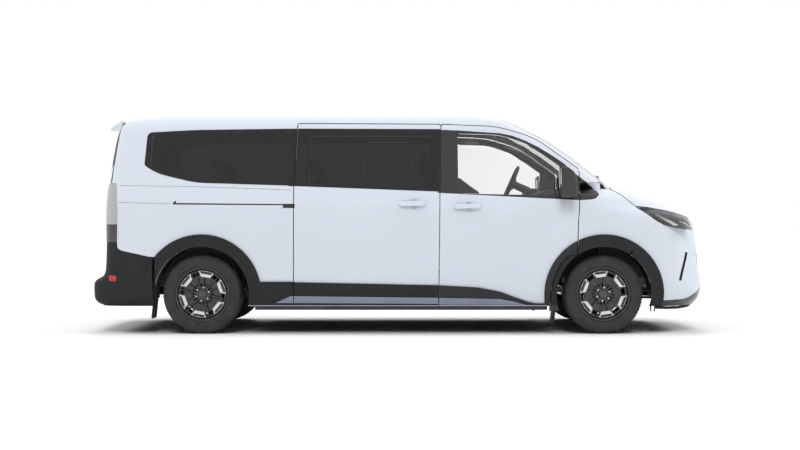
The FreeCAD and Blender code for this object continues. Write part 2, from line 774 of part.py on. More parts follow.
def lower_band_outline():
    """The black lower edge of the bumper, rising towards the middle."""
    return [(1900, 200, 0), (1900, 305, 0), (2345, 296, 0), (2511, 302, 200), (2634, 369, 60),
            (2708, 452, 30), (2900, 452, 0), (2900, 200, 0)]


def lower_band_cut(amount=0.0):
    return side_cut(lower_band_outline(), amount, -1100.0, 1100.0)


def grille_outline():
    """Opening of the upper grille, seen from the front."""
    return [(-390, 560, 40), (-445, 850, 50), (445, 850, 50), (390, 560, 40)]


def upper_grille():
    """Frame and bars that close the upper opening of the bumper cover."""
    frame = front_wrap(-3.0, -20.0, 500.0, 920.0)
    frame = frame.common(end_cut(grille_outline(), -seat_clearance, 2200.0, 2900.0))
    frame = frame.cut(end_cut(grille_outline(), -18.0, 2200.0, 2900.0))
    bars = front_wrap(-7.0, -19.0, 500.0, 920.0).common(end_cut(grille_outline(), -10.0, 2200.0, 2900.0))
    slats = [bars.common(box(2200, 2900, -480, 480, z, z + 16)) for z in (608, 652, 696, 740, 784)]
    posts = [bars.common(box(2200, 2900, y - 7, y + 7, 540, 880)) for y in (-210, 0, 210)]
    return largest(frame.fuse(slats + posts))


def corner_slot_cut(amount=0.0):
    outline = [(2430, 463, 8), (2498, 712, 10), (2524, 712, 10), (2456, 463, 8)]
    return side_cut(outline, amount, -1100.0, -600.0)


def intake_cut(amount=0.0):
    """Recess beside the number plate, seen from the front."""
    return end_cut([(-760, 590, 20), (-520, 575, 20), (-470, 640, 20), (-520, 708, 20), (-760, 716, 20)],
                   amount, 2200.0, 2900.0)


def front_lower_trim():
    """Black lower band of the front bumper with the lower grille bars."""
    band = front_wrap(-1.0, -24.0)
    band = band.common(lower_band_cut(-3.0)).cut(arch_cylinder(front_axle_x, arch_radius, -1300, 1300))
    opening = end_cut([(-520, 318, 24), (-420, 432, 24), (420, 432, 24), (520, 318, 24)], 0.0, 2200.0, 2900.0)
    band = band.cut(opening)
    bars = front_wrap(-8.0, -26.0, 290.0, 460.0)
    for z in (338, 368, 398):
        band = band.fuse(bars.common(box(2200, 2900, -540, 540, z, z + 12)))
    return largest(band.removeSplitter())


def intake_trims():
    """Dark inserts that close the corner slots and the intakes, right side."""
    slot = front_wrap(-10.0, -22.0, 420.0, 760.0)
    pieces = slot.common(corner_slot_cut(-seat_clearance)).Solids + slot.common(intake_cut(-seat_clearance)).Solids
    return both_sides(Part.makeCompound(pieces))


def gate_rays(turn=4.5):
    return fan_rays(Vector(-1900, 0, 1250), Vector(-1, 0, 0), Vector(0, 1, 0), Vector(0, 0, 1), (-58, 58),
                    (-47, 53), turn)


def tailgate_outline():
    outline = [(-3000, gate_bottom_z, 0), (-2480, gate_bottom_z, 0), (-2480, 1314 + panel_gap, 0)]
    seam = rear_seam(-panel_gap)
    return outline + [(seam[4][0], 1314 + panel_gap, 0)] + seam[3::-1] + [
        (roof_rear_x - panel_gap, 2100, 0), (-3000, 2100, 0)]


def rear_glass_outline():
    return [(-2900, 1440, 0), (-2533, 1440, 20), (-2503, 1492, 60), (-2476, 1762, 10), (-2900, 1772, 0)]


def tailgate():
    """Tailgate wrapping the rear corners above the lamps, and its pane."""
    gate = skin_solid(gate_rays(), 0.0, -gate_wall, cabin_distance)
    gate = gate.common(side_cut(tailgate_outline(), 0.0, -1100.0, 1100.0))
    lamp_zone = box(-3000, -2000, -1100, -tail_lamp_inner_y + panel_gap, 500, 1314 + panel_gap)
    gate = gate.cut(lamp_zone).cut(left_of(lamp_zone))
    rebate = skin_solid(gate_rays(), 30.0, -(glass_inset + glass_thickness + seat_clearance), cabin_distance)
    gate = gate.cut(rebate.common(side_cut(rear_glass_outline(), 2.0, -1100.0, 1100.0)))
    opening = end_cut([(-690, 1466, 60), (-650, 1738, 60), (650, 1738, 60), (690, 1466, 60)])
    gate = gate.cut(opening)
    pane = skin_solid(gate_rays(), -glass_inset, -(glass_inset + glass_thickness), cabin_distance)
    pane = pane.common(side_cut(rear_glass_outline(), 0.0, -1100.0, 1100.0))
    gate = largest(gate.fuse(spoiler()))
    for y in (-gate_hinge_y, gate_hinge_y):
        notch = box(gate_hinge_x - 9, gate_hinge_x + 30, y - 12, y + 12, gate_hinge_z - 9, 2000)
        pin = tube_y(gate_hinge_x, gate_hinge_z, hinge_pin_radius + running_fit, y - 26, y + 26)
        gate = gate.cut(notch).cut(pin)
    return largest(gate), largest(pane)


def spoiler():
    """Lip over the rear window."""
    y = roof_seam_y + 14
    wing = flat_outline([(-2462, 1790, 0), (-2466, 1870, 0), (-2520, 1842, 60), (-2572, 1800, 5),
                         (-2566, 1786, 5)], lambda p: Vector(p.x, -y, p.y))
    lip = Part.Face(wing).extrude(Vector(0, 2 * y, 0))
    return lip.cut(skin_solid(gate_rays(9.0), -20.0, -400.0, cabin_distance))


def tail_lamp():
    rays = plan_rays(-1900, 180, 252, 760, 1350, 4.5, 45)
    lens = skin_solid(rays, 0.0, -70.0, cabin_distance)
    lens = lens.common(side_cut(tail_lamp_outline(), 0.0, -1100.0, -tail_lamp_inner_y))
    return largest(lens)


bumper_rear_line = smooth_line([
    (180, -2560), (250, -2660), (290, -2712), (330, rear_end_x + 2), (400, rear_end_x), (440, rear_end_x + 4),
    (466, -2706), (500, -2650), (540, -2626), (620, -2618), (760, -2614), (850, -2612),
])


def bumper_distance(x, y, z):
    side = (abs(y) - side_half_width(x, z)) * 0.985
    rear = (bumper_rear_line(z) + y * y / 18000 - x) * slope_scale(bumper_rear_line, z)
    return rounded_max(side, rear, 95)


def rear_wrap(outer, inner, angle0=112, angle1=248, z0=220, z1=820):
    return skin_solid(plan_rays(-1750, angle0, angle1, z0, z1), outer, inner, bumper_distance)


def rear_bumper():
    cover = rear_wrap(0.0, -24.0)
    cover = cover.common(side_cut(rear_bumper_outline(), 0.0, -1100.0, 1100.0))
    cover = cover.cut(arch_cylinder(rear_axle_x, arch_radius, -1300, 1300))
    half = tail_lamp_inner_y + 4
    return largest(cover.cut(box(-3000, -2000, -half, half, gate_bottom_z - panel_gap, 1000)))


def cladding_skin(x0, x1, top_angle=-6):
    rays = section_rays(x0, x1, -41, top_angle)
    return skin_solid(rays, cladding_thickness, cladding_gap, flank_distance)


def bumper_rings(front_ring, rear_ring):
    """Parts of the arch rings that sit on the bumpers, right side."""
    front = front_wrap(cladding_thickness, cladding_gap).common(front_ring)
    rear = rear_wrap(cladding_thickness, cladding_gap).common(rear_ring)
    split = box(-3000, bumper_front_x - trim_gap / 2, -1300, -400, 0, 1000)
    return largest(front.common(side_cut(bumper_outline()))), largest(rear.common(split))


def cladding_pieces():
    """Black arch rings and sill strips, split where the doors and the fender meet."""
    front = cladding_skin(1180, 2340)
    rear = cladding_skin(-2300, -860)
    outer = arch_radius + arch_band
    ring = arch_cylinder(front_axle_x, outer).cut(arch_cylinder(front_axle_x, arch_radius))
    upper = box(-3000, 3000, -1300, -400, cladding_foot, 1500)
    strip = side_cut([(-1300, cladding_foot, 0), (rear_door_edge_x - 4, cladding_foot, 0),
                      (rear_door_edge_x - 4, 456, 0), (-1300, 456, 0)])
    rear_cut = arch_cylinder(rear_axle_x, outer).fuse(strip).cut(arch_cylinder(rear_axle_x, arch_radius))
    door_zone = side_cut(front_door_outline(), door_ring_gap)
    fender_part = front.common(ring).common(upper).cut(door_zone)
    fender_part = fender_part.cut(side_cut(bumper_outline(), trim_gap))
    rear_part = rear.common(rear_cut).common(upper)
    rear_part = rear_part.common(box(bumper_front_x + trim_gap / 2, 0, -1300, -400, 0, 1000))
    bumper_parts = bumper_rings(ring.common(upper), rear_cut.common(upper))
    sliding = cladding_skin(-960, 380).common(side_cut(
        [(-960, cladding_foot, 0), (380, cladding_foot, 0), (380, 425, 0), (-960, 453, 0)]))
    sliding = sliding.common(side_cut(sliding_door_outline(), -0.5))
    sill = side_cut([(middle_post_x, cladding_foot, 0), (1400, cladding_foot, 0), (1400, 260, 0),
                     (1149, 268, 300), (987, 326, 300), (870, 370, 300), (679, 407, 500),
                     (middle_post_x, 425, 0)])
    door_part = front.common(ring).common(upper).fuse(cladding_skin(300, 1420).common(sill))
    door_part = door_part.common(side_cut(front_door_outline(), -1.0))
    return [largest(fender_part), largest(rear_part), largest(sliding)] + list(bumper_parts), door_part


def mirror_right():
    """Door mirror on its arm, with the dark glass facing back."""
    outline = flat_outline([(1388, 1184, 22), (1386, 1446, 22), (1440, 1452, 40), (1506, 1400, 50),
                            (1524, 1290, 80), (1520, 1186, 26)], lambda p: Vector(p.x, -1128, p.y))
    shell = Part.Face(outline).extrude(Vector(0, 153, 0))
    shell = shell.makeFillet(14, shell.Edges)
    hollow = box(1370, 1396, -1112, -991, 1206, 1424)
    arm = swept_box(1440, 1500, -1000, -925, 1196, 1226, 8)
    glass = box(1392, 1396 - seat_clearance, -1110, -993, 1208, 1422)
    return shell.cut(hollow).fuse(arm), glass


def mirror():
    body, glass = mirror_right()
    foot = side_cut([(1408, 1196, 10), (1545, 1188, 10), (1552, 1330, 30), (1410, 1462, 30)],
                    0.0, -1000, -880)
    rays = section_rays(1360, 1580, 2, 40)
    foot = foot.common(skin_solid(rays, 8.0, seat_clearance, cabin_distance))
    body = body.cut(skin_solid(rays, seat_clearance, -90.0, cabin_distance))
    return largest(body.fuse(foot)), glass


def trimmed_inside(shape, rays, level, distance=flank_distance):
    """Cuts a piece back to a level inside the skin, on both sides."""
    beyond = skin_solid(rays, 130.0, level, distance)
    return shape.cut(beyond).cut(left_of(beyond))


def wheel_tub(x):
    """Inner wheel arch over a rear wheel, right side. Its inner wall clears the suspension."""
    outer = arch_cylinder(x, arch_radius + 16, -960, -540)
    inner = arch_cylinder(x, arch_radius + 8, -980, -548)
    upper = box(x - 500, x + 500, -980, -640, 300, 900).fuse(box(x - 500, x + 500, -640, -500, 520, 900))
    return outer.common(upper).cut(inner)


def firewall():
    """Toe board and bulkhead between the cabin and the engine."""
    profile = flat_outline([(1180, floor_top, 0), (1180, floor_top - 15, 0), (1335, floor_top - 15, 0),
                            (1335, 775, 0), (1480, 775, 0), (1500, 1190, 0), (1485, 1190, 0), (1466, 790, 0),
                            (1320, 790, 0), (1320, floor_top, 0)], lambda p: Vector(p.x, -860, p.y))
    return Part.Face(profile).extrude(Vector(0, 1720, 0))


def front_structure():
    """Right side of the structure ahead of the cabin: rails, strut tower and brackets."""
    lean = math.radians(kingpin_lean)
    tower_z = kingpin_z + strut_length * math.cos(lean) + 2.5 + seat_clearance
    pieces = [box(1320, 2440, -500, -430, 470, 560), box(1505, 2160, -512, -500, 420, tower_z),
              box(1690, 1860, -720, -500, tower_z, tower_z + 12), box(1492, 2200, -800, -750, 1040, 1085),
              box(1690, 1860, -760, -700, tower_z, 1060)]
    wing = section_rays(1500, 2300, -10, 30, 60, 5.0)
    brackets = box(1590, 1630, -1000, -790, 1045, 1080).fuse(box(1900, 1940, -1000, -790, 1045, 1080))
    brackets = brackets.cut(skin_solid(wing, 130.0, -fender_wall - seat_clearance, nose_distance))
    lamp_arm = box(2150, 2200, -1000, -790, 1040, 1075)
    lamp_arm = lamp_arm.cut(skin_solid(lamp_rays(), 130.0, -60.0 - seat_clearance, nose_distance))
    x, y, z = bonnet_hinge_x, -bonnet_hinge_y, bonnet_hinge_z
    hinge_post = box(x - 16, x + 16, y + 6, y + 16, 1060, z + 12)
    pin = tube_y(x, z, hinge_pin_radius, y - 8, y + 12)
    return pieces + [largest(brackets), lamp_arm, hinge_post, pin] + door_hinge_arms()


def door_hinge_arms():
    """Right hinge pillar with the arms and pins that carry the front door."""
    pieces = [box(1440, 1510, -880, -850, 780, 1120)]
    for z in door_hinge_heights:
        y = hinge_axis_y(z)
        half = hinge_barrel_radius - 1
        arm = box(door_hinge_x - half, door_hinge_x + half, -y, -870, z - 10, z + 10)
        barrel = Part.makeCylinder(hinge_barrel_radius, 20, Vector(door_hinge_x, -y, z - 10), Vector(0, 0, 1))
        pieces += [arm, barrel, door_pin(z, 0.0, 24)]
    return pieces


def chassis_rail():
    """Long rail under the floor, right side, drilled at the rear for a tow bar."""
    rail = box(-2460, 1340, -465, -390, rail_bottom, floor_top - 20)
    for x in (towbar_x - towbar_pitch / 2, towbar_x + towbar_pitch / 2):
        rail = rail.cut(Part.makeCylinder(towbar_hole_radius, 45, Vector(x, -427.5, rail_bottom - 5)))
    return rail


def floor_pan():
    """Floor, sills, wheel tubs, bulkhead, rails and strut towers as one welded shell."""
    slab = box(-2500, 1330, -960, 960, floor_top - floor_thickness, floor_top)
    rocker = box(-1270, 1290, -960, -770, 262, floor_top - 20)
    cross = box(-2500, -2470, -860, 860, 420, floor_top + 60)
    space = arch_cylinder(rear_axle_x, arch_radius + 12, -1000, -544)
    tub = wheel_tub(rear_axle_x)
    slab = slab.cut(space).cut(left_of(space)).fuse([rocker, left_of(rocker), cross, tub, left_of(tub)])
    slab = trimmed_inside(slab, section_rays(-2540, 420, -41, 20), -wall - trim_gap)
    slab = trimmed_inside(slab, section_rays(345, 1480, -41, 20), -door_wall - sill_inset)
    beam = box(-2700, -2470, -600, 600, 530, 600)
    beam = beam.cut(rear_wrap(100.0, -24.0 - seat_clearance, 140, 220, 440, 680))
    rail = chassis_rail()
    flange = box(-1270, 1290, -884, -880, 205, 300)
    pieces = [firewall(), rail, left_of(rail), flange, left_of(flange), largest(beam)]
    for x in (-jack_pad_x, jack_pad_x):
        pad = box(x - 45, x + 45, -jack_pad_y - 35, -jack_pad_y + 35, jack_pad_z, 280)
        pieces += [pad, left_of(pad)]
    for piece in front_structure():
        pieces += [piece, left_of(piece)]
    return largest(slab.fuse(pieces))


def arch_liner():
    """Plastic liner over a front wheel, right side."""
    ring = arch_cylinder(front_axle_x, arch_radius + 12, -940, -716)
    ring = ring.cut(arch_cylinder(front_axle_x, arch_radius + 6, -960, -700))
    kept = box(1345, front_axle_x, -960, -700, 262, 900).fuse(box(front_axle_x, 2300, -960, -700, 330, 900))
    rays = section_rays(1240, 2330, -41, 10)
    skin = skin_solid(rays, 120.0, -fender_wall - seat_clearance, flank_distance)
    bumper = skin_solid(rays, 120.0, -22.0 - seat_clearance, flank_distance)
    return largest(ring.common(kept).cut(skin).cut(bumper.common(box(1976, 2400, -1300, -600, 100, 1200))))


def dashboard():
    profile = flat_outline([(1464, 860, 10), (1464, 1200, 30), (1500, 1262, 30), (1320, 1268, 60),
                            (1210, 1225, 50), (1190, 1120, 40), (1260, 1060, 30), (1300, 860, 20)],
                           lambda p: Vector(p.x, -845, p.y))
    board = Part.Face(profile).extrude(Vector(0, 1690, 0))
    side = skin_solid(section_rays(1100, 1560, -30, 60), 140.0, -wall - 14.0, flank_distance)
    board = largest(board.cut(side).cut(left_of(side)))
    hood = swept_box(1200, 1330, steering_wheel_y - 190, steering_wheel_y + 190, 1200, 1300, 24)
    column_axis = Vector(-math.cos(math.radians(24)), 0, math.sin(math.radians(24)))
    start = Vector(steering_wheel_x, steering_wheel_y, steering_wheel_z) - column_axis * 34
    column = Part.makeCylinder(38, 150, start - column_axis * 150, column_axis)
    return largest(board.fuse([hood, column]).removeSplitter())


def steering_wheel():
    """Rim, hub and three spokes, tilted towards the driver."""
    rim = Part.makeTorus(steering_wheel_radius - 14, 14)
    hub = Part.makeCylinder(58, 33.7, Vector(0, 0, -33.7))
    wheel = rim.fuse(hub)
    for angle in (0, 180, 270):
        spoke = box(40, steering_wheel_radius - 14, -16, 16, -14, -2)
        spoke.rotate(Vector(0, 0, 0), Vector(0, 0, 1), angle)
        wheel = wheel.fuse(spoke)
    wheel = wheel.removeSplitter()
    wheel.rotate(Vector(0, 0, 0), Vector(0, 0, 1), 90)
    wheel.rotate(Vector(0, 0, 0), Vector(0, 1, 0), 24 - 90)
    wheel.translate(Vector(steering_wheel_x, steering_wheel_y, steering_wheel_z))
    return largest(wheel)


def seat(x, y, width, base_z, height=600.0):
    """Cushion, backrest and headrest on a plinth; x is the front of the backrest at cushion height."""
    cushion = swept_box(x - 20, x + 480, y - width / 2, y + width / 2, base_z, base_z + 130, 40)
    back = swept_box(-60, 60, y - width / 2, y + width / 2, 0, height, 40)
    back.rotate(Vector(0, 0, 0), Vector(0, 1, 0), -13)
    back.translate(Vector(x - 60, 0, base_z + 60))
    top = base_z + 60 + height * math.cos(math.radians(13))
    behind = x - 60 - height * math.sin(math.radians(13))
    head = swept_box(behind - 60, behind + 30, y - 130, y + 130, top - 12, top + 150, 34)
    plinth = box(x + 20, x + 400, y - width / 2 + 60, y + width / 2 - 60, floor_top, base_z + 10)
    return largest(cushion.fuse([back, head, plinth]).removeSplitter())


def front_seats():
    x = 440
    places = (-steering_wheel_y, steering_wheel_y)
    return Part.makeCompound([seat(x, y, seat_width, 830, 560) for y in places])


def rear_seats():
    tubs = both_sides(arch_cylinder(rear_axle_x, arch_radius + 16 + seat_clearance, -960, -540 + seat_clearance))
    row = []
    for x in rear_seat_xs:
        for y in (-530, 0, 530):
            row.append(largest(seat(x, y, seat_width, 790, 560).cut(tubs)))
    return Part.makeCompound(row)


def engine():
    return swept_box(1560, 2260, -330, 330, 380 + seat_clearance, 1040, 20)


def radiator():
    return box(2440, 2500, -400, 400, 400, 900)


def front_subframe():
    """Cradle with lower arms, crash beam and radiator frame."""
    cradle = box(1500, 2080, -430, 430, 300, 380).cut(box(1600, 1980, -350, 350, 290, 390))
    arm = box(front_axle_x - 40, front_axle_x + 40, -(kingpin_y + 12), -400, 190, 220)
    arm = arm.fuse(box(front_axle_x - 40, front_axle_x + 40, -440, -400, 190, 330))
    side = [arm, box(1520, 1570, -480, -380, 360, 470 - seat_clearance),
            box(2010, 2060, -480, -380, 360, 470 - seat_clearance), box(2440, 2570, -500, -430, 490, 555),
            box(2440, 2500, -440, -400, 360, 920), box(2060, 2440, -430, -400, 340, 380)]
    beam = box(2560, 2720, -640, 640, 500, 590)
    beam = largest(beam.cut(front_wrap(100.0, -22.0 - seat_clearance, 440.0, 680.0)))
    pieces = side + [left_of(p) for p in side] + [beam, box(2440, 2500, -440, 440, 360, 400),
                                                  box(2440, 2500, -440, 440, 900, 920)]
    return largest(cradle.fuse(pieces))


def rear_axle():
    """Twist beam with trailing arms, hub carriers and springs."""
    beam = tube_y(rear_axle_x + 160, wheel_radius - 20, 45, -600, 600)
    arm = box(rear_axle_x - 60, rear_axle_x + 560, -620, -560, 300, 360)
    carrier = tube_y(rear_axle_x, wheel_radius, 62, -785, -560)
    stub = tube_y(rear_axle_x, wheel_radius, hub_bore - running_fit, -wheel_plane_y - 54, -780)
    pad = box(rear_axle_x + 480, rear_axle_x + 560, -620, -395, 340, 400 - seat_clearance)
    floor_under = floor_top - floor_thickness
    spring = Part.makeCylinder(33, floor_under - seat_clearance - 350, Vector(rear_axle_x + 160, -502, 350),
                               Vector(0, 0, 1))
    side = [arm, carrier, stub, pad, spring]
    return largest(beam.fuse(side + [left_of(p) for p in side]))


def fuel_tank():
    return swept_box(-900, -100, -20, 370, 290, floor_top - floor_thickness - seat_clearance, 40)


def exhaust():
    """Pipe, silencer and tail pipe along the right side of the floor."""
    pipe = Part.makeCylinder(30, 2440, Vector(-950, -250, 360), Vector(1, 0, 0))
    muffler = swept_box(-1420, -930, -380, -120, 290, 430, 50)
    tail = Part.makeCylinder(28, 900, Vector(-2300, -330, 412), Vector(1, 0, 0))
    under = floor_top - floor_thickness - seat_clearance
    hangers = [box(x, x + 20, -270, -230, 370, under) for x in (-300, 500, 1100)]
    hangers.append(box(-1300, -1280, -340, -300, 400, under))
    hangers.append(box(-2200, -2180, -345, -315, 400, under))
    return pipe.fuse([muffler, tail] + hangers)


def sill_strip(x0, x1, outline):
    """Grey strip over the lower cladding, with shallow scallops in its lower edge, right side."""
    rays = section_rays(x0, x1, -41, -6)
    strip = skin_solid(rays, strip_level, cladding_thickness + trim_gap, flank_distance)
    shape = side_cut([(-1085, 272, 0), (-1073, 276, 0), (-946, 333, 30), (-914, 331.6, 0), (334, 317, 0),
                      (867, 307, 200), (980, 286, 200), (1100, 256, 0), (1100, 253, 0), (335, 264, 0)])
    pockets = skin_solid(rays, strip_level + 20.0, strip_level - scallop_depth, flank_distance)
    strip = strip.common(shape).common(outline)
    for x in scallop_places:
        cup = side_cut([(x - 93, 250, 0), (x - 70, 292, 24), (x + 70, 292, 24), (x + 93, 250, 0)])
        strip = strip.cut(pockets.common(cup))
    return largest(strip)


def sill_trims():
    """Strips of the sliding door and the rear quarter, right side."""
    rear = box(-1200, rear_door_edge_x - panel_gap / 2, -1200, -500, 200, 400)
    door = side_cut(sliding_door_outline(), -0.5)
    return sill_strip(-1160, 380, rear), sill_strip(-1160, 380, door)


def front_door_strip():
    return sill_strip(300, 1160, side_cut(front_door_outline(), -1.0))


def mud_flaps():
    front = side_cut([(1322, 92, 8), (1346, 92, 8), (1362, 261.7, 4), (1342, 261.7, 4)], 0.0, -930, -770)
    rear = side_cut([(-2176, 130, 8), (-2158, 130, 8), (-2140, 299.7, 4), (-2160, 299.7, 4)], 0.0, -900, -740)
    return both_sides(Part.makeCompound([front, rear]))


def turned(profile):
    """Ring turned about the wheel's axis from points (outward, radius, corner radius)."""
    wire = flat_outline(profile, lambda p: Vector(0, -p.x, p.y))
    return Part.Face(wire).revolve(Vector(0, 0, 0), Vector(0, 1, 0), 360)


def tyre():
    """Road tyre whose beads sit between the rim's flanges."""
    half = tyre_width / 2
    bead = rim_width / 2 - 14.6
    right = [(bead, rim_seat_radius + 0.6, 0), (bead + 2, rim_radius + 0.8, 0), (half, 272, 0),
             (half - 20, wheel_radius, 0)]
    left = [(-x, r, c) for x, r, c in right[::-1]]
    return turned(right + left)


def wheel_prism(points, inner, outer, angle):
    """Prism along the wheel's axis from an outline (across, radius, corner), turned about the axis."""
    wire = flat_outline(points, lambda p: Vector(p.x, -outer, p.y))
    prism = Part.Face(wire).extrude(Vector(0, outer - inner, 0))
    prism.rotate(Vector(0, 0, 0), Vector(0, 1, 0), angle)
    return prism


def rim():
    """Alloy wheel: a dished face with twelve spokes, six framed brackets and six openings, and the brake."""
    o = rim_width / 2
    barrel = turned([(-o, rim_radius, 0), (-o + 12, rim_radius, 0), (-o + 14, rim_seat_radius, 0),
                     (-o + 46, rim_seat_radius - 2, 0), (-30, 188, 0), (30, 188, 0),
                     (o - 40, rim_seat_radius - 2, 0), (o - 14, rim_seat_radius, 0), (o - 12, rim_radius, 0),
                     (o, rim_radius, 0), (o, 221, 0), (o - 22, 206, 0), (20, 180, 0), (-40, 180, 0),
                     (-o + 40, 206, 0), (-o, 224, 0)])
    face = turned([(20, hub_bore, 0), (20, 78, 0), (36, 90, 0), (44, 184, 0), (44, 200, 0), (66, 209, 0),
                   (72, 164, 0), (64, 94, 0), (52, 82, 0), (52, 38, 0), (62, 34, 0), (66, 26, 0), (66, 0, 0),
                   (60, 0, 0), (60, hub_bore, 0)])
    wheel = barrel.fuse(face)
    step = 360.0 / spoke_pairs
    for i in range(spoke_pairs):
        bracket = wheel_prism([(-72, 197, 0), (-54, 177, 0), (-40, 150, 0), (40, 150, 0), (54, 177, 0),
                               (72, 197, 0), (38, 206, 0), (-38, 206, 0)], 50, bracket_face, step * i)
        wheel = wheel.fuse(bracket)
    for i in range(spoke_pairs):
        frame = wheel_prism([(-57, 192, 0), (-43, 176, 0), (43, 176, 0), (57, 192, 0), (30, 200, 0),
                             (-30, 200, 0)], bracket_floor, 120, step * i)
        behind = wheel_prism([(-8, 98, 0), (-22, 140, 0), (22, 140, 0), (8, 98, 0)], 54, 120, step * i)
        between = step * (i + 0.5)
        triangle = wheel_prism([(-9, 90, 0), (-30, 146, 0), (30, 146, 0), (9, 90, 0)], 54, 120, between)
        opening = wheel_prism([(-25, 157, 6), (-31, 193, 6), (31, 193, 6), (25, 157, 6)], 42, 120, between)
        wheel = wheel.cut(frame).cut(behind).cut(triangle).cut(opening)
    disc_brake = turned([(-38, 84, 0), (-38, 160, 0), (-14, 160, 0), (-14, 84, 0)])
    hat = turned([(-20, 70, 0), (-20, 86, 0), (24, 86, 0), (24, 70, 0)])
    flange = turned([(14, hub_bore, 0), (14, 80, 0), (24, 80, 0), (24, hub_bore, 0)])
    return largest(wheel.fuse([disc_brake, hat, flange]))


def placed_wheel(shape, x, turn, right=True):
    wheel = shape.copy()
    wheel.rotate(Vector(0, 0, 0), Vector(0, 1, 0), turn)
    wheel.translate(Vector(x, -wheel_plane_y, wheel_radius))
    return wheel if right else left_of(wheel)


def knuckle():
    """Upright with stub axle, caliper and the strut on the steering axis, right side."""
    lean = math.radians(kingpin_lean)
    axis = Vector(0, math.sin(lean), math.cos(lean))
    foot = Vector(front_axle_x, -kingpin_y, kingpin_z)
    hub_y = -(kingpin_y - (wheel_radius - kingpin_z) * math.tan(lean))
    upright = box(front_axle_x - 36, front_axle_x + 36, hub_y - 20, hub_y + 22, kingpin_z - 6, 480)
    flange = tube_y(front_axle_x, wheel_radius, 62, -wheel_plane_y + 52, hub_y)
    y0, y1 = -wheel_plane_y - 54, -wheel_plane_y + 60
    stub = tube_y(front_axle_x, wheel_radius, hub_bore - running_fit, y0, y1)
    strut = Part.makeCylinder(strut_radius, 560, foot + axis * 180, axis)
    coil = Part.makeCylinder(56, 200, foot + axis * (strut_length - 240), axis)
    shaft = Part.makeCylinder(10, strut_length - 230, foot + axis * 230, axis)
    pin = Part.makeCylinder(12, 40, foot - axis * 26, axis)
    return largest(upright.fuse([flange, stub, strut, coil, shaft, pin]))


def export(name, shape):
    shape.exportStep("parts/%s.step" % name)
    print(name, "valid" if shape.isValid() else "INVALID", len(shape.Solids), round(shape.Volume / 1e6, 2))


def main():
    os.makedirs("parts", exist_ok=True)
    side, quarter_pane = body_side()
    export("body_side_right", side)
    export("body_side_left", left_of(side))
    export("quarter_glass", both_sides(quarter_pane))
    export("windscreen", windscreen())
    export("cowl", cowl())
    export("roof_panel", roof_panel())
    door, pane = sliding_door()
    export("sliding_door_right", door)
    export("sliding_door_left", left_of(door))
    export("sliding_door_glass", both_sides(pane))
    door, pane = front_door()
    export("front_door_right", door)
    export("front_door_left", left_of(door))
    export("front_door_glass_right", pane)
    export("front_door_glass_left", left_of(pane))
    export("front_fenders", both_sides(front_fender()))
    export("bonnet", bonnet())
    export("headlamps", both_sides(headlamp()))
    export("front_bumper", front_bumper())
    export("front_grille", Part.makeCompound([front_lower_trim(), upper_grille()] + intake_trims().Solids))
    gate, pane = tailgate()
    export("tailgate", gate)
    export("tailgate_glass", pane)
    export("tail_lamps", both_sides(tail_lamp()))
    export("rear_bumper", rear_bumper())
    body_parts, door_part = cladding_pieces()
    export("cladding", both_sides(Part.makeCompound(body_parts)))
    trim = Part.makeCompound(door_part.Solids + list(mirror()) + [front_door_strip()])
    export("front_door_trim_right", trim)
    export("front_door_trim_left", left_of(trim))
    export("floor_pan", floor_pan())
    export("arch_liners", Part.makeCompound(both_sides(arch_liner()).Solids + mud_flaps().Solids))
    export("dashboard", dashboard())
    export("steering_wheel", steering_wheel())
    export("front_seats", front_seats())
    export("rear_seats", rear_seats())
    export("engine", engine())
    export("radiator", radiator())
    export("front_subframe", front_subframe())
    export("rear_axle", rear_axle())
    export("fuel_tank", fuel_tank())
    export("exhaust", exhaust())
    export("sill_trims", both_sides(Part.makeCompound(list(sill_trims()))))
    tyre_ring = tyre()
    rim_disc = rim()
    wheels = (("front", front_axle_x, front_wheel_turn), ("rear", rear_axle_x, rear_wheel_turn))
    for place, x, turn in wheels:
        for piece, shape in (("tyre", tyre_ring), ("rim", rim_disc)):
            export("%s_%s_right" % (piece, place), placed_wheel(shape, x, turn))
            export("%s_%s_left" % (piece, place), placed_wheel(shape, x, turn, False))
    export("knuckle_right", knuckle())
    export("knuckle_left", left_of(knuckle()))


main()
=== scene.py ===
import json
import math
import bmesh
import bpy
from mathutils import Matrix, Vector
from mathutils.bvhtree import BVHTree


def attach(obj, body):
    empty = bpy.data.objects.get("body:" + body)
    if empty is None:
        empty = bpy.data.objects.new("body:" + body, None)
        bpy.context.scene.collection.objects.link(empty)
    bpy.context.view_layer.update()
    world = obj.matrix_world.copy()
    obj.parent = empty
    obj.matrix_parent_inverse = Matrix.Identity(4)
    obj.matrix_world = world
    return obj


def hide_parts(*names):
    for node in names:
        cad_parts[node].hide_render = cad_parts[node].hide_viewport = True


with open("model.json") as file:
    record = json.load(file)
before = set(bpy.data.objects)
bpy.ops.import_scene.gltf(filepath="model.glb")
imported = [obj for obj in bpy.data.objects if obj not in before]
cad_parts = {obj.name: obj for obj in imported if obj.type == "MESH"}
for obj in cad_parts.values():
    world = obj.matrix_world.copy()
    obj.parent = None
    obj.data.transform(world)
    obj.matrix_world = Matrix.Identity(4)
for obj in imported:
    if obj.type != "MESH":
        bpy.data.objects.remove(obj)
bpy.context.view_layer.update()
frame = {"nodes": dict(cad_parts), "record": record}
nodes = frame["nodes"]
slotOf = {part["node"]: part["material_slot"] for part in frame["record"]["subparts"]}


# small helpers for shader trees
def newMaterial(name, **inputs):
    material = bpy.data.materials.new(name)
    material.use_nodes = True
    shader = material.node_tree.nodes["Principled BSDF"]
    for label, value in inputs.items():
        shader.inputs[label.replace("_", " ")].default_value = value
    return material, material.node_tree, shader


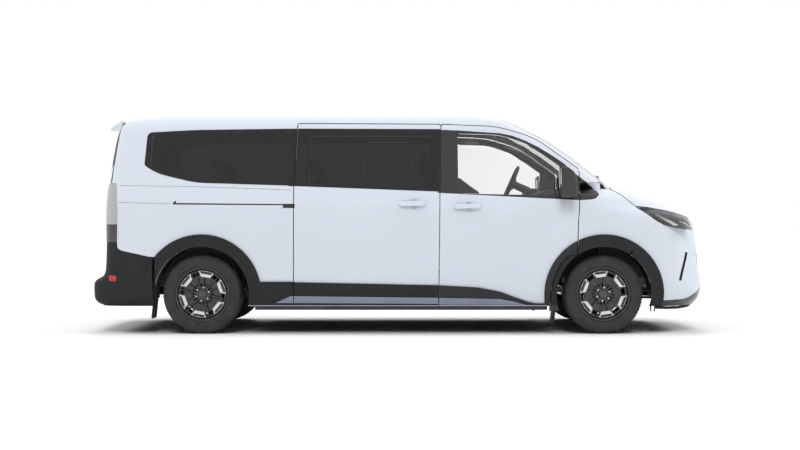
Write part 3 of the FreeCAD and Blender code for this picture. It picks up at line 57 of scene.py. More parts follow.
def addNode(tree, kind, inputs=(), **settings):
    node = tree.nodes.new(kind)
    for label, value in settings.items():
        setattr(node, label, value)
    for label, value in dict(inputs).items():
        node.inputs[label].default_value = value
    return node


def objectPoint(tree, scale=(1, 1, 1)):
    place = addNode(tree, "ShaderNodeTexCoord")
    mapping = addNode(tree, "ShaderNodeMapping", {"Scale": scale})
    tree.links.new(place.outputs["Object"], mapping.inputs["Vector"])
    return mapping.outputs["Vector"]


def grain(tree, scale, detail=3.0, stretch=(1, 1, 1)):
    noise = addNode(tree, "ShaderNodeTexNoise", {"Scale": scale, "Detail": detail})
    tree.links.new(objectPoint(tree, stretch), noise.inputs["Vector"])
    return noise.outputs["Fac"]


def cells(tree, scale):
    pattern = addNode(tree, "ShaderNodeTexVoronoi", {"Scale": scale})
    tree.links.new(objectPoint(tree), pattern.inputs["Vector"])
    return pattern.outputs["Distance"]


def shift(tree, value, low, high, fromLow=0.3, fromHigh=0.7):
    rerange = addNode(tree, "ShaderNodeMapRange", {"From Min": fromLow, "From Max": fromHigh,
                                                   "To Min": low, "To Max": high})
    tree.links.new(value, rerange.inputs["Value"])
    return rerange.outputs["Result"]


def blendColour(tree, value, first, second):
    ramp = addNode(tree, "ShaderNodeMix", data_type="RGBA")
    tree.links.new(value, ramp.inputs[0])
    for socket, colour in ((ramp.inputs[6], first), (ramp.inputs[7], second)):
        if isinstance(colour, bpy.types.NodeSocket):
            tree.links.new(colour, socket)
        else:
            socket.default_value = (*colour, 1)
    return ramp.outputs[2]


def mottled(tree, scale, detail, first, second):
    return blendColour(tree, shift(tree, grain(tree, scale, detail), 0, 1), first, second)


def raise_(tree, shader, height, strength, distance, coat=False):
    bump = addNode(tree, "ShaderNodeBump", {"Strength": strength, "Distance": distance})
    tree.links.new(height, bump.inputs["Height"])
    tree.links.new(bump.outputs["Normal"], shader.inputs["Normal"])
    if coat:
        tree.links.new(bump.outputs["Normal"], shader.inputs["Coat Normal"])


def paintedMetal(name, colour, deep, roughness=0.32):
    material, tree, shader = newMaterial(name, Roughness=roughness, Coat_Weight=1.0, Coat_Roughness=0.04)
    tree.links.new(mottled(tree, 0.9, 2, colour, deep), shader.inputs["Base Color"])
    raise_(tree, shader, grain(tree, 240, 2), 0.06, 0.0004, coat=True)
    return material


def grainedPlastic(name, colour, worn, roughness, cellScale=900, depth=0.0004, shine=0.5):
    material, tree, shader = newMaterial(name, Specular_IOR_Level=shine)
    tree.links.new(mottled(tree, 5, 5, colour, worn), shader.inputs["Base Color"])
    rough = shift(tree, grain(tree, 38, 3), roughness - 0.06, roughness + 0.06)
    tree.links.new(rough, shader.inputs["Roughness"])
    raise_(tree, shader, cells(tree, cellScale), 0.35, depth)
    return material


def glossPlastic(name, colour, roughness=0.08):
    material, tree, shader = newMaterial(name, Coat_Weight=0.6, Coat_Roughness=0.03)
    light = [c * 1.25 for c in colour]
    tree.links.new(blendColour(tree, grain(tree, 3, 2), colour, light), shader.inputs["Base Color"])
    tree.links.new(shift(tree, grain(tree, 60, 4), roughness, roughness + 0.08), shader.inputs["Roughness"])
    raise_(tree, shader, grain(tree, 160, 2), 0.03, 0.0003)
    return material


def paneGlass(name, tint, spread=0.06):
    material, tree, shader = newMaterial(name, IOR=1.45, Transmission_Weight=1.0, Roughness=0.0)
    deep = [c * (1 - spread) for c in tint]
    tree.links.new(mottled(tree, 1.3, 2, tint, deep), shader.inputs["Base Color"])
    return material


def metal(name, colour, roughness, stretch=(1, 1, 1), fine=90):
    material, tree, shader = newMaterial(name, Metallic=1.0)
    deep = [c * 0.8 for c in colour]
    tree.links.new(blendColour(tree, grain(tree, 7, 4), colour, deep), shader.inputs["Base Color"])
    tree.links.new(shift(tree, grain(tree, fine, 4, stretch=stretch), roughness - 0.07, roughness + 0.09),
                   shader.inputs["Roughness"])
    raise_(tree, shader, grain(tree, fine * 2, 3, stretch=stretch), 0.08, 0.0006)
    return material


def wovenFabric(name, colour, thread, pitch=420):
    material, tree, shader = newMaterial(name, Roughness=0.9, Sheen_Weight=0.25, Sheen_Roughness=0.5)
    weft = addNode(tree, "ShaderNodeTexWave", {"Scale": pitch, "Distortion": 1.2}, bands_direction="X")
    warp = addNode(tree, "ShaderNodeTexWave", {"Scale": pitch, "Distortion": 1.2}, bands_direction="Z")
    for wave in (weft, warp):
        tree.links.new(objectPoint(tree), wave.inputs["Vector"])
    cross = combine(tree, "MULTIPLY", weft.outputs["Fac"], warp.outputs["Fac"])
    tree.links.new(blendColour(tree, cross, colour, thread), shader.inputs["Base Color"])
    raise_(tree, shader, cross, 0.4, 0.0008)
    return material


def tyreRubber(name, colour, worn):
    material, tree, shader = newMaterial(name)
    tree.links.new(mottled(tree, 9, 5, colour, worn), shader.inputs["Base Color"])
    tree.links.new(shift(tree, grain(tree, 24, 4), 0.62, 0.8), shader.inputs["Roughness"])
    raise_(tree, shader, grain(tree, 420, 3), 0.25, 0.0006)
    return material


# masks that paint zones of a surface by its place, seen from the side unless told otherwise
def combine(tree, operation, first, second):
    node = addNode(tree, "ShaderNodeMath", operation=operation)
    for i, value in enumerate((first, second)):
        if isinstance(value, (int, float)):
            node.inputs[i].default_value = value
        else:
            tree.links.new(value, node.inputs[i])
    return node.outputs[0]


def insideOf(tree, point, polygons, across=0, up=2):
    total = None
    for polygon in polygons:
        area = sum(a[0] * b[1] - b[0] * a[1] for a, b in zip(polygon, polygon[1:] + polygon[:1]))
        corners = polygon if area > 0 else polygon[::-1]
        held = None
        for (u0, v0), (u1, v1) in zip(corners, corners[1:] + corners[:1]):
            way = [0, 0, 0]
            way[across], way[up] = v0 - v1, u1 - u0
            dot = addNode(tree, "ShaderNodeVectorMath", operation="DOT_PRODUCT")
            tree.links.new(point, dot.inputs[0])
            dot.inputs[1].default_value = way
            test = combine(tree, "GREATER_THAN", dot.outputs["Value"], way[across] * u0 + way[up] * v0)
            held = test if held is None else combine(tree, "MULTIPLY", held, test)
        total = held if total is None else combine(tree, "MAXIMUM", total, held)
    return total


def splitOf(tree, vector):
    node = addNode(tree, "ShaderNodeSeparateXYZ")
    tree.links.new(vector, node.inputs[0])
    return node.outputs


# the normal in the piece's own axes, so that a mask stays in place when a door opens or a wheel turns
def ownNormal(tree):
    geometry = addNode(tree, "ShaderNodeNewGeometry")
    turned = addNode(tree, "ShaderNodeVectorTransform", vector_type="NORMAL", convert_from="WORLD",
                     convert_to="OBJECT")
    tree.links.new(geometry.outputs["Normal"], turned.inputs[0])
    return splitOf(tree, turned.outputs[0])


shellMiddle = {"height": 0.85, "upGain": 1.2, "endsBeyond": 2.3}


# how far a face turns out of the shell; carPaint gives faces below paintTones' facing threshold a painted
# shade
def facingOut(tree, point):
    x, y, z = splitOf(tree, point)
    nx, ny, nz = ownNormal(tree)
    side = combine(tree, "MULTIPLY", y, ny)
    above = combine(tree, "SUBTRACT", z, shellMiddle["height"])
    upper = combine(tree, "MULTIPLY", combine(tree, "MULTIPLY", above, shellMiddle["upGain"]), nz)
    end = combine(tree, "GREATER_THAN", combine(tree, "ABSOLUTE", x, 0), shellMiddle["endsBeyond"])
    ends = combine(tree, "MULTIPLY", combine(tree, "MULTIPLY", end, combine(tree, "SIGN", x, 0)), nx)
    return combine(tree, "MAXIMUM", combine(tree, "MAXIMUM", side, upper), ends)


# black places on the white panels, as outlines of length and height
zones = {
    "doorFrame": [(0.33, 1.786), (0.509, 1.78), (0.877, 1.756), (0.989, 1.734), (1.1, 1.691),
                  (1.211, 1.637), (1.321, 1.57), (1.431, 1.497), (1.522, 1.411), (1.563, 1.165),
                  (1.275, 1.180), (0.33, 1.229)],
    "mirrorPatch": [(1.393, 1.44), (1.522, 1.411), (1.697, 1.276), (1.735, 1.237), (1.741, 1.212),
                    (1.706, 1.181), (1.663, 1.171), (1.563, 1.165), (1.393, 1.175)],
    "quarterEnd": [(-0.96, 1.790), (-0.90, 1.790), (-0.915, 1.286), (-0.97, 1.286)],
    "rail": [(-1.975, 1.140), (-1.010, 1.131), (-1.010, 1.120), (-1.975, 1.127)],
    "railHook": [(-1.974, 1.130), (-1.960, 1.157), (-1.944, 1.157), (-1.948, 1.130)],
    "railPocket": [(-1.018, 1.133), (-0.915, 1.133), (-0.915, 1.096), (-1.018, 1.096)],
    "fenderFoot": [(1.28, 0.19), (1.42, 0.19), (1.42, 0.262), (1.28, 0.262)],
    "ringFoot": [(1.28, 0.244), (1.38, 0.244), (1.40, 0.47), (1.33, 0.50)],
    "ringBack": [(1.33, 0.46), (1.40, 0.44), (1.47, 0.64), (1.40, 0.66)],
    "underRing": [(1.38, 0.62), (1.47, 0.62), (1.548, 0.69), (1.548, 0.80), (1.47, 0.74)],
    "ringSeam": [(1.985, 0.69), (2.05, 0.69), (2.06, 0.76), (2.01, 0.73)],
}
# near-black tones for the black zones, and a painted dark shade for faces turned inward: gap walls, reveals
# and the inner sides of the white panels
paintTones = {"facing": 0.12, "zone": ((0.010, 0.010, 0.011), (0.014, 0.014, 0.015)),
              "inside": ((0.020, 0.020, 0.021), (0.028, 0.028, 0.029))}


def carPaint(name, colour, deep):
    material, tree, shader = newMaterial(name, Roughness=0.30, Coat_Weight=1.0, Coat_Roughness=0.03,
                                         Specular_IOR_Level=0.15)
    point = objectPoint(tree)
    outer = combine(tree, "GREATER_THAN", facingOut(tree, point), paintTones["facing"])
    black = insideOf(tree, point, list(zones.values()))
    white, dark = mottled(tree, 0.9, 2, colour, deep), mottled(tree, 6, 3, *paintTones["zone"])
    outside = blendColour(tree, black, white, dark)
    # faces turned inward, such as door gap walls and reveals, get a near-black painted shade in place of the
    # white paint
    inside = mottled(tree, 12, 3, *paintTones["inside"])
    tree.links.new(blendColour(tree, outer, inside, outside), shader.inputs["Base Color"])
    raise_(tree, shader, grain(tree, 240, 2), 0.05, 0.0003, coat=True)
    return material


machined = {"beyond": 0.9285, "within": 0.2030, "facing": 0.9, "axlesMiddle": 0.025, "halfBase": 1.75,
            "axleHeight": 0.345, "silver": (0.62, 0.63, 0.65),
            "black": ((0.011, 0.011, 0.012), (0.018, 0.018, 0.020))}


def alloyWheel(name):
    material, tree, shader = newMaterial(name, Coat_Weight=0.5, Coat_Roughness=0.05)
    x, y, z = splitOf(tree, objectPoint(tree))
    facing = combine(tree, "MULTIPLY", combine(tree, "SIGN", y, 0), ownNormal(tree)[1])
    outward = combine(tree, "GREATER_THAN", facing, machined["facing"])
    far = combine(tree, "GREATER_THAN", combine(tree, "ABSOLUTE", y, 0), machined["beyond"])
    fromMiddle = combine(tree, "ABSOLUTE", combine(tree, "SUBTRACT", x, machined["axlesMiddle"]), 0)
    across = combine(tree, "SUBTRACT", fromMiddle, machined["halfBase"])
    up = combine(tree, "SUBTRACT", z, machined["axleHeight"])
    reach = combine(tree, "ADD", combine(tree, "MULTIPLY", across, across), combine(tree, "MULTIPLY", up, up))
    within = combine(tree, "LESS_THAN", reach, machined["within"] ** 2)
    cut = combine(tree, "MULTIPLY", combine(tree, "MULTIPLY", outward, far), within)
    dark = mottled(tree, 30, 3, *machined["black"])
    tree.links.new(blendColour(tree, cut, dark, machined["silver"]), shader.inputs["Base Color"])
    tree.links.new(cut, shader.inputs["Metallic"])
    tree.links.new(shift(tree, grain(tree, 60, 4), 0.22, 0.34), shader.inputs["Roughness"])
    raise_(tree, shader, grain(tree, 300, 2), 0.02, 0.0002)
    return material


# the clear part of the windscreen from above; round it runs the black band
screenClear = [(0.965, -0.655), (0.965, 0.655), (1.775, 0.715), (1.80, 0.45), (1.845, 0.2), (1.85, 0.0),
               (1.845, -0.2), (1.80, -0.45), (1.775, -0.715)]


def screenGlass(name):
    material, tree, shader = newMaterial(name, IOR=1.45, Roughness=0.0)
    clear = insideOf(tree, objectPoint(tree), [screenClear], 0, 1)
    tree.links.new(clear, shader.inputs["Transmission Weight"])
    tone = blendColour(tree, clear, (0.008, 0.008, 0.009), (0.975, 0.985, 0.98))
    tree.links.new(tone, shader.inputs["Base Color"])
    return material


redBand = {"from": 1.035, "to": 1.26, "within": 0.905}


def bandedLens(name, lower, upper, level, rear):
    material, tree, shader = newMaterial(name, Coat_Weight=1.0, Coat_Roughness=0.02, Roughness=0.12)
    point = objectPoint(tree)
    _, y, z = splitOf(tree, point)
    inner = combine(tree, "LESS_THAN", combine(tree, "ABSOLUTE", y, 0), redBand["within"])
    middle = combine(tree, "MULTIPLY", combine(tree, "GREATER_THAN", z, redBand["from"]),
                     combine(tree, "LESS_THAN", z, redBand["to"]))
    base = blendColour(tree, combine(tree, "GREATER_THAN", z, level), lower, upper)
    tone = blendColour(tree, combine(tree, "MULTIPLY", inner, middle), base, rear)
    tree.links.new(tone, shader.inputs["Base Color"])
    ribs = addNode(tree, "ShaderNodeTexWave", {"Scale": 55.0}, bands_direction="Z")
    tree.links.new(point, ribs.inputs["Vector"])
    raise_(tree, shader, ribs.outputs["Fac"], 0.25, 0.0010)
    return material


claddingTones = (0.0075, 0.0085, 0.0095), (0.012, 0.013, 0.0145)
stripTones = (0.215, 0.245, 0.325), (0.25, 0.28, 0.36)
doorTrim = {"mirrorFrom": 0.85, "matt": 0.56, "mirrorShine": 0.40, "mirrorCoat": 0.5,
            "strip": [(0.334, 0.256), (1.10, 0.253), (0.98, 0.286), (0.867, 0.307), (0.334, 0.317)]}


def doorTrimLook(name):
    material, tree, shader = newMaterial(name, Coat_Roughness=0.04)
    point = objectPoint(tree)
    high = combine(tree, "GREATER_THAN", splitOf(tree, point)[2], doorTrim["mirrorFrom"])
    base, grey = mottled(tree, 5, 5, *claddingTones), mottled(tree, 5, 5, *stripTones)
    strip = insideOf(tree, point, [doorTrim["strip"]])
    tree.links.new(blendColour(tree, strip, base, grey), shader.inputs["Base Color"])
    smoother = combine(tree, "MULTIPLY", high, doorTrim["mirrorShine"])
    tree.links.new(combine(tree, "SUBTRACT", doorTrim["matt"], smoother), shader.inputs["Roughness"])
    tree.links.new(combine(tree, "MULTIPLY", high, doorTrim["mirrorCoat"]), shader.inputs["Coat Weight"])
    raise_(tree, shader, cells(tree, 900), 0.06, 0.0003)
    return material


looks = {
    "paint": carPaint("bodyPaint", (0.745, 0.795, 0.875), (0.725, 0.775, 0.855)),
    "cladding_black": grainedPlastic("claddingGrain", *claddingTones, 0.58, shine=0.36),
    "trim_black": glossPlastic("glossTrim", (0.008, 0.0085, 0.0095)),
    "step_grey": grainedPlastic("stepGrey", *stripTones, 0.4, 700, 0.0003),
    "clear_glass": paneGlass("clearGlass", (0.985, 0.99, 0.988)),
    "dark_glass": paneGlass("privacyGlass", (0.070, 0.074, 0.086)),
    "lamp_lens": paneGlass("lampLens", (0.97, 0.975, 0.98)),
    "tail_lens": bandedLens("tailLens", (0.010, 0.010, 0.012), (0.42, 0.43, 0.45), 0.955,
                            (0.30, 0.006, 0.008)),
    "tyre_rubber": tyreRubber("tyreRubber", (0.022, 0.022, 0.024), (0.040, 0.040, 0.043)),
    "wheel_black": alloyWheel("wheelBlack"),
    "chassis_steel": paintedMetal("chassisPaint", (0.02, 0.02, 0.021), (0.03, 0.029, 0.028), 0.5),
    "floor_steel": grainedPlastic("floorSealant", (0.05, 0.05, 0.052), (0.085, 0.085, 0.088), 0.7, 260,
                                  0.001),
    "engine_metal": metal("castAluminium", (0.55, 0.56, 0.58), 0.42),
    "exhaust_steel": metal("exhaustSteel", (0.45, 0.43, 0.40), 0.35, (1, 6, 6)),
    "seat_fabric": wovenFabric("seatCloth", (0.020, 0.021, 0.024), (0.045, 0.047, 0.052)),
    "cabin_plastic": grainedPlastic("cabinPlastic", (0.030, 0.030, 0.032), (0.040, 0.040, 0.042), 0.6, 1100),
}
silver = metal("brushedSilver", (0.74, 0.75, 0.77), 0.28, (1, 8, 8))
mirrorLook = metal("mirrorGlass", (0.86, 0.87, 0.88), 0.08, fine=20)
mirrorLook.node_tree.nodes["Principled BSDF"].inputs["Specular IOR Level"].default_value = 0.6
seamDark = grainedPlastic("seamDark", (0.018, 0.019, 0.021), (0.026, 0.027, 0.029), 0.6)
redLens = glossPlastic("redLens", (0.42, 0.008, 0.010), 0.1)
ownLooks = {"windscreen": screenGlass("screenGlass")}
ownLooks["front_door_trim_right"] = ownLooks["front_door_trim_left"] = doorTrimLook("doorTrim")
for node, thing in nodes.items():
    for place in thing.material_slots:
        place.material = ownLooks.get(node, looks[slotOf[node]])
print("looks on", len(nodes), "nodes")


# surfaces that small pieces are laid on
def skinOf(*names):
    corners, faces = [], []
    for name in names:
        mesh = nodes[name].data
        start = len(corners)
        corners += [v.co.copy() for v in mesh.vertices]
        faces += [[start + i for i in face.vertices] for face in mesh.polygons]
    return BVHTree.FromPolygons(corners, faces)


def sideView(u, v):
    return Vector((u, -1.5, v)), Vector((0, 1, 0))


def rearView(u, v):
    return Vector((-3.2, u, v)), Vector((1, 0, 0))


def topView(u, v):
    return Vector((u, v, 2.6)), Vector((0, 0, -1))


def mirrorView(u, v):
    return Vector((1.0, u, v)), Vector((1, 0, 0))


def dropOn(skin, view, points, jump=0.03):
    found = []
    depth, facing = None, None
    for u, v in points:
        start, way = view(u, v)
        place, normal, _, far = skin.ray_cast(start, way)
        if place is None or (depth is not None and abs(far - depth) > jump):
            if depth is None:
                continue
            place, normal, far = start + way * depth, facing, depth
        depth, facing = far, normal
        found.append((place, normal))
    return found


def spaced(line, step, closed=False):
    points = [Vector(p) for p in line]
    if closed:
        points.append(points[0])
    out = []
    for first, second in zip(points, points[1:]):
        count = max(1, round((second - first).length / step))
        out += [first.lerp(second, i / count) for i in range(count)]
    return out if closed else out + [points[-1]]


def rounded(corners, radius, steps=5):
    out = []
    for i, corner in enumerate(corners):
        here = Vector(corner)
        before, after = Vector(corners[i - 1]), Vector(corners[(i + 1) % len(corners)])
        reach = min(radius, (before - here).length * 0.45, (after - here).length * 0.45)
        start = here + (before - here).normalized() * reach
        end = here + (after - here).normalized() * reach
        for k in range(steps + 1):
            t = k / steps
            out.append(tuple(start * (1 - t) ** 2 + here * 2 * t * (1 - t) + end * t ** 2))
    return out


def flipped(vertices, faces):
    return [(x, -y, z) for x, y, z in vertices], [face[::-1] for face in faces]


def joined(*parts):
    vertices, faces = [], []
    for some, others in parts:
        faces += [[len(vertices) + i for i in face] for face in others]
        vertices += [tuple(v) for v in some]
    return vertices, faces


def bothSides(part):
    return joined(part, flipped(*part))


def ribbonOn(skin, view, line, width, height, step=0.02, closed=False, sink=0.0008):
    points = spaced(line, step, closed)
    left, right = [], []
    for i, point in enumerate(points):
        before = points[i - 1] if closed or i else point
        after = points[(i + 1) % len(points)] if closed or i < len(points) - 1 else point
        along = (after - before).normalized()
        across = Vector((-along.y, along.x)) * width / 2
        left.append(point + across)
        right.append(point - across)
    rows = []
    for (a, na), (b, nb) in zip(dropOn(skin, view, left), dropOn(skin, view, right)):
        slope = (b - a) * min(0.3, height / max(width, 1e-4))
        rows.append([a - na * sink, a + slope + na * height, b - slope + nb * height, b - nb * sink])
    vertices = [p for row in rows for p in row]
    faces = []
    last = len(rows) if closed else len(rows) - 1
    for i in range(last):
        j = (i + 1) % len(rows)
        faces += [[4 * i + k, 4 * i + (k + 1) % 4, 4 * j + (k + 1) % 4, 4 * j + k] for k in range(4)]
    if not closed:
        faces += [[0, 1, 2, 3], [4 * last + k for k in (3, 2, 1, 0)]]
    return vertices, faces


def patchOn(skin, view, outline, height, step=0.04, sink=0.0008):
    shape = bmesh.new()
    shape.faces.new([shape.verts.new((u, v, 0)) for u, v in outline])
    for axis in (0, 1):
        low = min(p[axis] for p in outline)
        high = max(p[axis] for p in outline)
        count = int((high - low) / step)
        for i in range(1, count + 1):
            place, across = Vector((0, 0, 0)), Vector((0, 0, 0))
            place[axis] = low + (high - low) * i / (count + 1)
            across[axis] = 1
            bmesh.ops.bisect_plane(shape, geom=shape.verts[:] + shape.edges[:] + shape.faces[:], dist=1e-6,
                                   plane_co=place, plane_no=across)
    shape.verts.index_update()
    flat = [(v.co.x, v.co.y) for v in shape.verts]
    spots = dropOn(skin, view, flat, 0.5)
    upper = [place + normal * height for place, normal in spots]
    lower = [place - normal * sink for place, normal in spots]
    count = len(upper)
    faces = [[v.index for v in face.verts] for face in shape.faces]
    faces += [[i + count for i in face[::-1]] for face in faces]
    for e in shape.edges:
        if e.is_boundary:
            a, b = (v.index for v in e.verts)
            faces.append([a, b, b + count, a + count])
    shape.free()
    return upper + lower, faces


def lathe(profile, segments, place=(0, 0, 0), axis="Y", closed=True):
    vertices, faces = [], []
    for i in range(segments):
        angle = 2 * math.pi * i / segments
        for along, radius in profile:
            c, s = radius * math.cos(angle), radius * math.sin(angle)
            spot = {"X": (along, c, s), "Y": (c, along, s), "Z": (c, s, along)}[axis]
            vertices.append(tuple(spot[k] + place[k] for k in range(3)))
    count = len(profile)
    for i in range(segments):
        j = (i + 1) % segments
        for k in range(count - 1):
            faces.append([i * count + k, i * count + k + 1, j * count + k + 1, j * count + k])
    if closed:
        faces.append([i * count for i in range(segments)])
        faces.append([i * count + count - 1 for i in range(segments)][::-1])
    return vertices, faces


def tubeAlong(points, radii, segments=10):
    points = [Vector(p) for p in points]
    vertices, faces = [], []
    side = Vector((0, 0, 1))
    for i, point in enumerate(points):
        along = (points[min(i + 1, len(points) - 1)] - points[max(i - 1, 0)]).normalized()
        if abs(along.dot(side)) > 0.95:
            side = Vector((1, 0, 0))
        across = along.cross(side).normalized()
        side = across.cross(along).normalized()
        radius = radii[i] if isinstance(radii, list) else radii
        wide, tall = radius if isinstance(radius, (list, tuple)) else (radius, radius)
        for k in range(segments):
            angle = 2 * math.pi * k / segments
            vertices.append(tuple(point + across * wide * math.cos(angle) + side * tall * math.sin(angle)))
    for i in range(len(points) - 1):
        for k in range(segments):
            m = (k + 1) % segments
            faces.append([i * segments + k, i * segments + m, (i + 1) * segments + m, (i + 1) * segments + k])
    faces.append(list(range(segments))[::-1])
    faces.append([(len(points) - 1) * segments + k for k in range(segments)])
    return vertices, faces


def makePiece(name, part, material, body, replaced=(), sharp=35, turnOut=True):
    mesh = bpy.data.meshes.new(name)
    mesh.from_pydata([tuple(v) for v in part[0]], [], part[1])
    shape = bmesh.new()
    shape.from_mesh(mesh)
    bmesh.ops.remove_doubles(shape, verts=shape.verts, dist=1e-6)
    if turnOut:
        bmesh.ops.recalc_face_normals(shape, faces=shape.faces)
    shape.to_mesh(mesh)
    shape.free()
    return settle(bpy.data.objects.new(name, mesh), material, body, replaced, sharp)


def settle(piece, material, body, replaced=(), sharp=35):
    if piece.name not in bpy.context.collection.objects:
        bpy.context.collection.objects.link(piece)
    if material:
        piece.data.materials.clear()
        piece.data.materials.append(material)
    piece.data.polygons.foreach_set("use_smooth", [True] * len(piece.data.polygons))
    piece.data.set_sharp_from_angle(angle=math.radians(sharp))
    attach(piece, body)
    if replaced:
        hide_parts(*replaced)
    return piece


# tyres: a turned carcass whose tread rows are pushed in at the grooves
tyre = {
    "pitches": 66,
    "crown": 0.3438,
    "middle": 0.3449,
    "grooveDepth": 0.0072,
    "shoulderDepth": 0.0058,
    "shoulderFrom": (0.318, 0.012),
    "sipeDepth": 0.0022,
    "sipesBeyond": 0.008,
    "steps": (0.0, 0.04, 0.30, 0.34, 0.60, 0.66, 0.94),
    "blockGap": (0.66, 0.94),
    "sipes": (0.30, 0.34),
    "slant": 0.55,
    "wheelSide": 0.847,
    "axleHeight": 0.345,
    "axles": {"front": 1.775, "rear": -1.725},
}


# half of the carcass from the bead to the middle rib, as distances along the axle and radii
carcass = {
    "wall": [(0.0780, 0.2192), (0.0790, 0.2342), (0.0870, 0.2350), (0.0940, 0.2372), (0.0990, 0.2410),
             (0.1020, 0.2450), (0.1040, 0.2490), (0.1052, 0.2540), (0.1064, 0.2620), (0.1069, 0.2705),
             (0.1073, 0.2712), (0.1073, 0.2742), (0.1068, 0.2750), (0.1062, 0.2850), (0.1046, 0.2970),
             (0.1026, 0.3080), (0.1030, 0.3088), (0.1028, 0.3112), (0.1016, 0.3125)],
    "block": [(0.0990, 0.3220), (0.0960, 0.3290), (0.0915, 0.3352), (0.0862, 0.3396), (0.0790, 0.3418),
              (0.0690, 0.3430), (0.0610, 0.3436), (0.0600, 0.3437)],
    "outerGroove": [0.0585, 0.0515],
    "rib": [(0.0500, 0.3442), (0.0400, 0.3445), (0.0300, 0.3447)],
    "innerGroove": [0.0285, 0.0205],
    "middleRib": [(0.0190, 0.3448), (0.0100, 0.3449)],
}


def tyreRows():
    floor = tyre["crown"] - tyre["grooveDepth"]
    rows = []
    for kind, places in carcass.items():
        for place in places:
            if "Groove" in kind:
                rows.append((place, floor, "groove"))
            else:
                rows.append((*place, "rib" if kind == "middleRib" else kind))
    other = [(-along, radius, kind) for along, radius, kind in rows[::-1]]
    return rows + [(0.0, tyre["middle"], "rib")] + other


def tyrePart(flip):
    rows, steps = tyreRows(), tyre["steps"]
    foot, run = tyre["shoulderFrom"]
    vertices = []
    for pitch in range(tyre["pitches"]):
        for step in steps:
            for along, radius, kind in rows:
                if kind == "block" and step in tyre["blockGap"]:
                    radius -= tyre["shoulderDepth"] * min(1.0, max(0.0, (radius - foot) / run))
                if kind == "rib" and step in tyre["sipes"] and abs(along) > tyre["sipesBeyond"]:
                    radius -= tyre["sipeDepth"]
                bend = tyre["slant"] * abs(along) / 0.1 if kind != "wall" else 0.0
                angle = 2 * math.pi * (pitch + step + bend) / tyre["pitches"]
                vertices.append((radius * math.cos(angle), along * flip, radius * math.sin(angle)))
    count, around = len(rows), tyre["pitches"] * len(steps)
    faces = []
    for i in range(around):
        j = (i + 1) % around
        for k in range(count):
            m = (k + 1) % count
            faces.append([i * count + k, i * count + m, j * count + m, j * count + k])
    return vertices, faces


def movedTo(part, place):
    return [(x + place[0], y + place[1], z + place[2]) for x, y, z in part[0]], part[1]


# a small part made for the left side of a wheel, set on one of the four
def onWheel(part, side, place):
    sign = -1 if side == "right" else 1
    return movedTo(([(x, sign * y, z) for x, y, z in part[0]], part[1]), place)


tyreParts = {"right": tyrePart(-1), "left": tyrePart(1)}
wheelPlaces = {}
for end, x in tyre["axles"].items():
    for side, sign in (("right", -1), ("left", 1)):
        place = wheelPlaces[end, side] = (x, sign * tyre["wheelSide"], tyre["axleHeight"])
        makePiece("treadedTyre_%s_%s" % (end, side), movedTo(tyreParts[side], place), looks["tyre_rubber"],
                  "wheel_%s_%s" % (end, side), ["tyre_%s_%s" % (end, side)], 28)
print("tyres ready")

# wheel nuts, set round the hub by a Geometry Nodes tree
nutRing = {"count": 6, "ringRadius": 0.058, "nutRadius": 0.0105, "taper": 0.62, "nutLength": 0.016,
           "seatY": 0.0615, "frontTurn": 8.0, "rearTurn": 10.0}
hubCap = [(0.0560, 0.0355), (0.0680, 0.0345), (0.0700, 0.0315), (0.0720, 0.0189), (0.0725, 0.002)]


def nutTree():
    tree = bpy.data.node_groups.new("nutRing", "GeometryNodeTree")
    sockets = {"Count": "Int", "Ring Radius": "Float", "Nut Radius": "Float", "Nut Length": "Float",
               "Place": "Vector", "Turn": "Vector", "Finish": "Material"}
    for label, kind in sockets.items():
        tree.interface.new_socket(label, in_out="INPUT", socket_type="NodeSocket" + kind)
    tree.interface.new_socket("Geometry", in_out="OUTPUT", socket_type="NodeSocketGeometry")
    inlet, outlet = addNode(tree, "NodeGroupInput"), addNode(tree, "NodeGroupOutput")
    ring = addNode(tree, "GeometryNodeMeshCircle")
    nut = addNode(tree, "GeometryNodeMeshCone", {"Vertices": 18})
    spread = addNode(tree, "GeometryNodeInstanceOnPoints")
    place = addNode(tree, "GeometryNodeTransform")
    real = addNode(tree, "GeometryNodeRealizeInstances")
    finish = addNode(tree, "GeometryNodeSetMaterial")
    links = tree.links
    links.new(inlet.outputs["Count"], ring.inputs["Vertices"])
    links.new(inlet.outputs["Ring Radius"], ring.inputs["Radius"])
    links.new(inlet.outputs["Nut Radius"], nut.inputs["Radius Bottom"])
    narrow = combine(tree, "MULTIPLY", inlet.outputs["Nut Radius"], nutRing["taper"])
    links.new(narrow, nut.inputs["Radius Top"])
    links.new(inlet.outputs["Nut Length"], nut.inputs["Depth"])
    links.new(ring.outputs["Mesh"], spread.inputs["Points"])
    links.new(nut.outputs["Mesh"], spread.inputs["Instance"])
    links.new(spread.outputs["Instances"], place.inputs["Geometry"])
    links.new(inlet.outputs["Place"], place.inputs["Translation"])
    links.new(inlet.outputs["Turn"], place.inputs["Rotation"])
    links.new(place.outputs["Geometry"], real.inputs["Geometry"])
    links.new(real.outputs["Geometry"], finish.inputs["Geometry"])
    links.new(inlet.outputs["Finish"], finish.inputs["Material"])
    links.new(finish.outputs["Geometry"], outlet.inputs["Geometry"])
    return tree


def grownMesh(name, tree, values):
    seed = bpy.data.objects.new(name, bpy.data.meshes.new(name))
    bpy.context.collection.objects.link(seed)
    modifier = seed.modifiers.new("grow", "NODES")
    modifier.node_group = tree
    for item in tree.interface.items_tree:
        if item.in_out == "INPUT" and item.name in values:
            modifier[item.identifier] = values[item.name]
    evaluated = seed.evaluated_get(bpy.context.evaluated_depsgraph_get())
    mesh = bpy.data.meshes.new_from_object(evaluated)
    seed.modifiers.remove(modifier)
    seed.data = mesh
    return seed


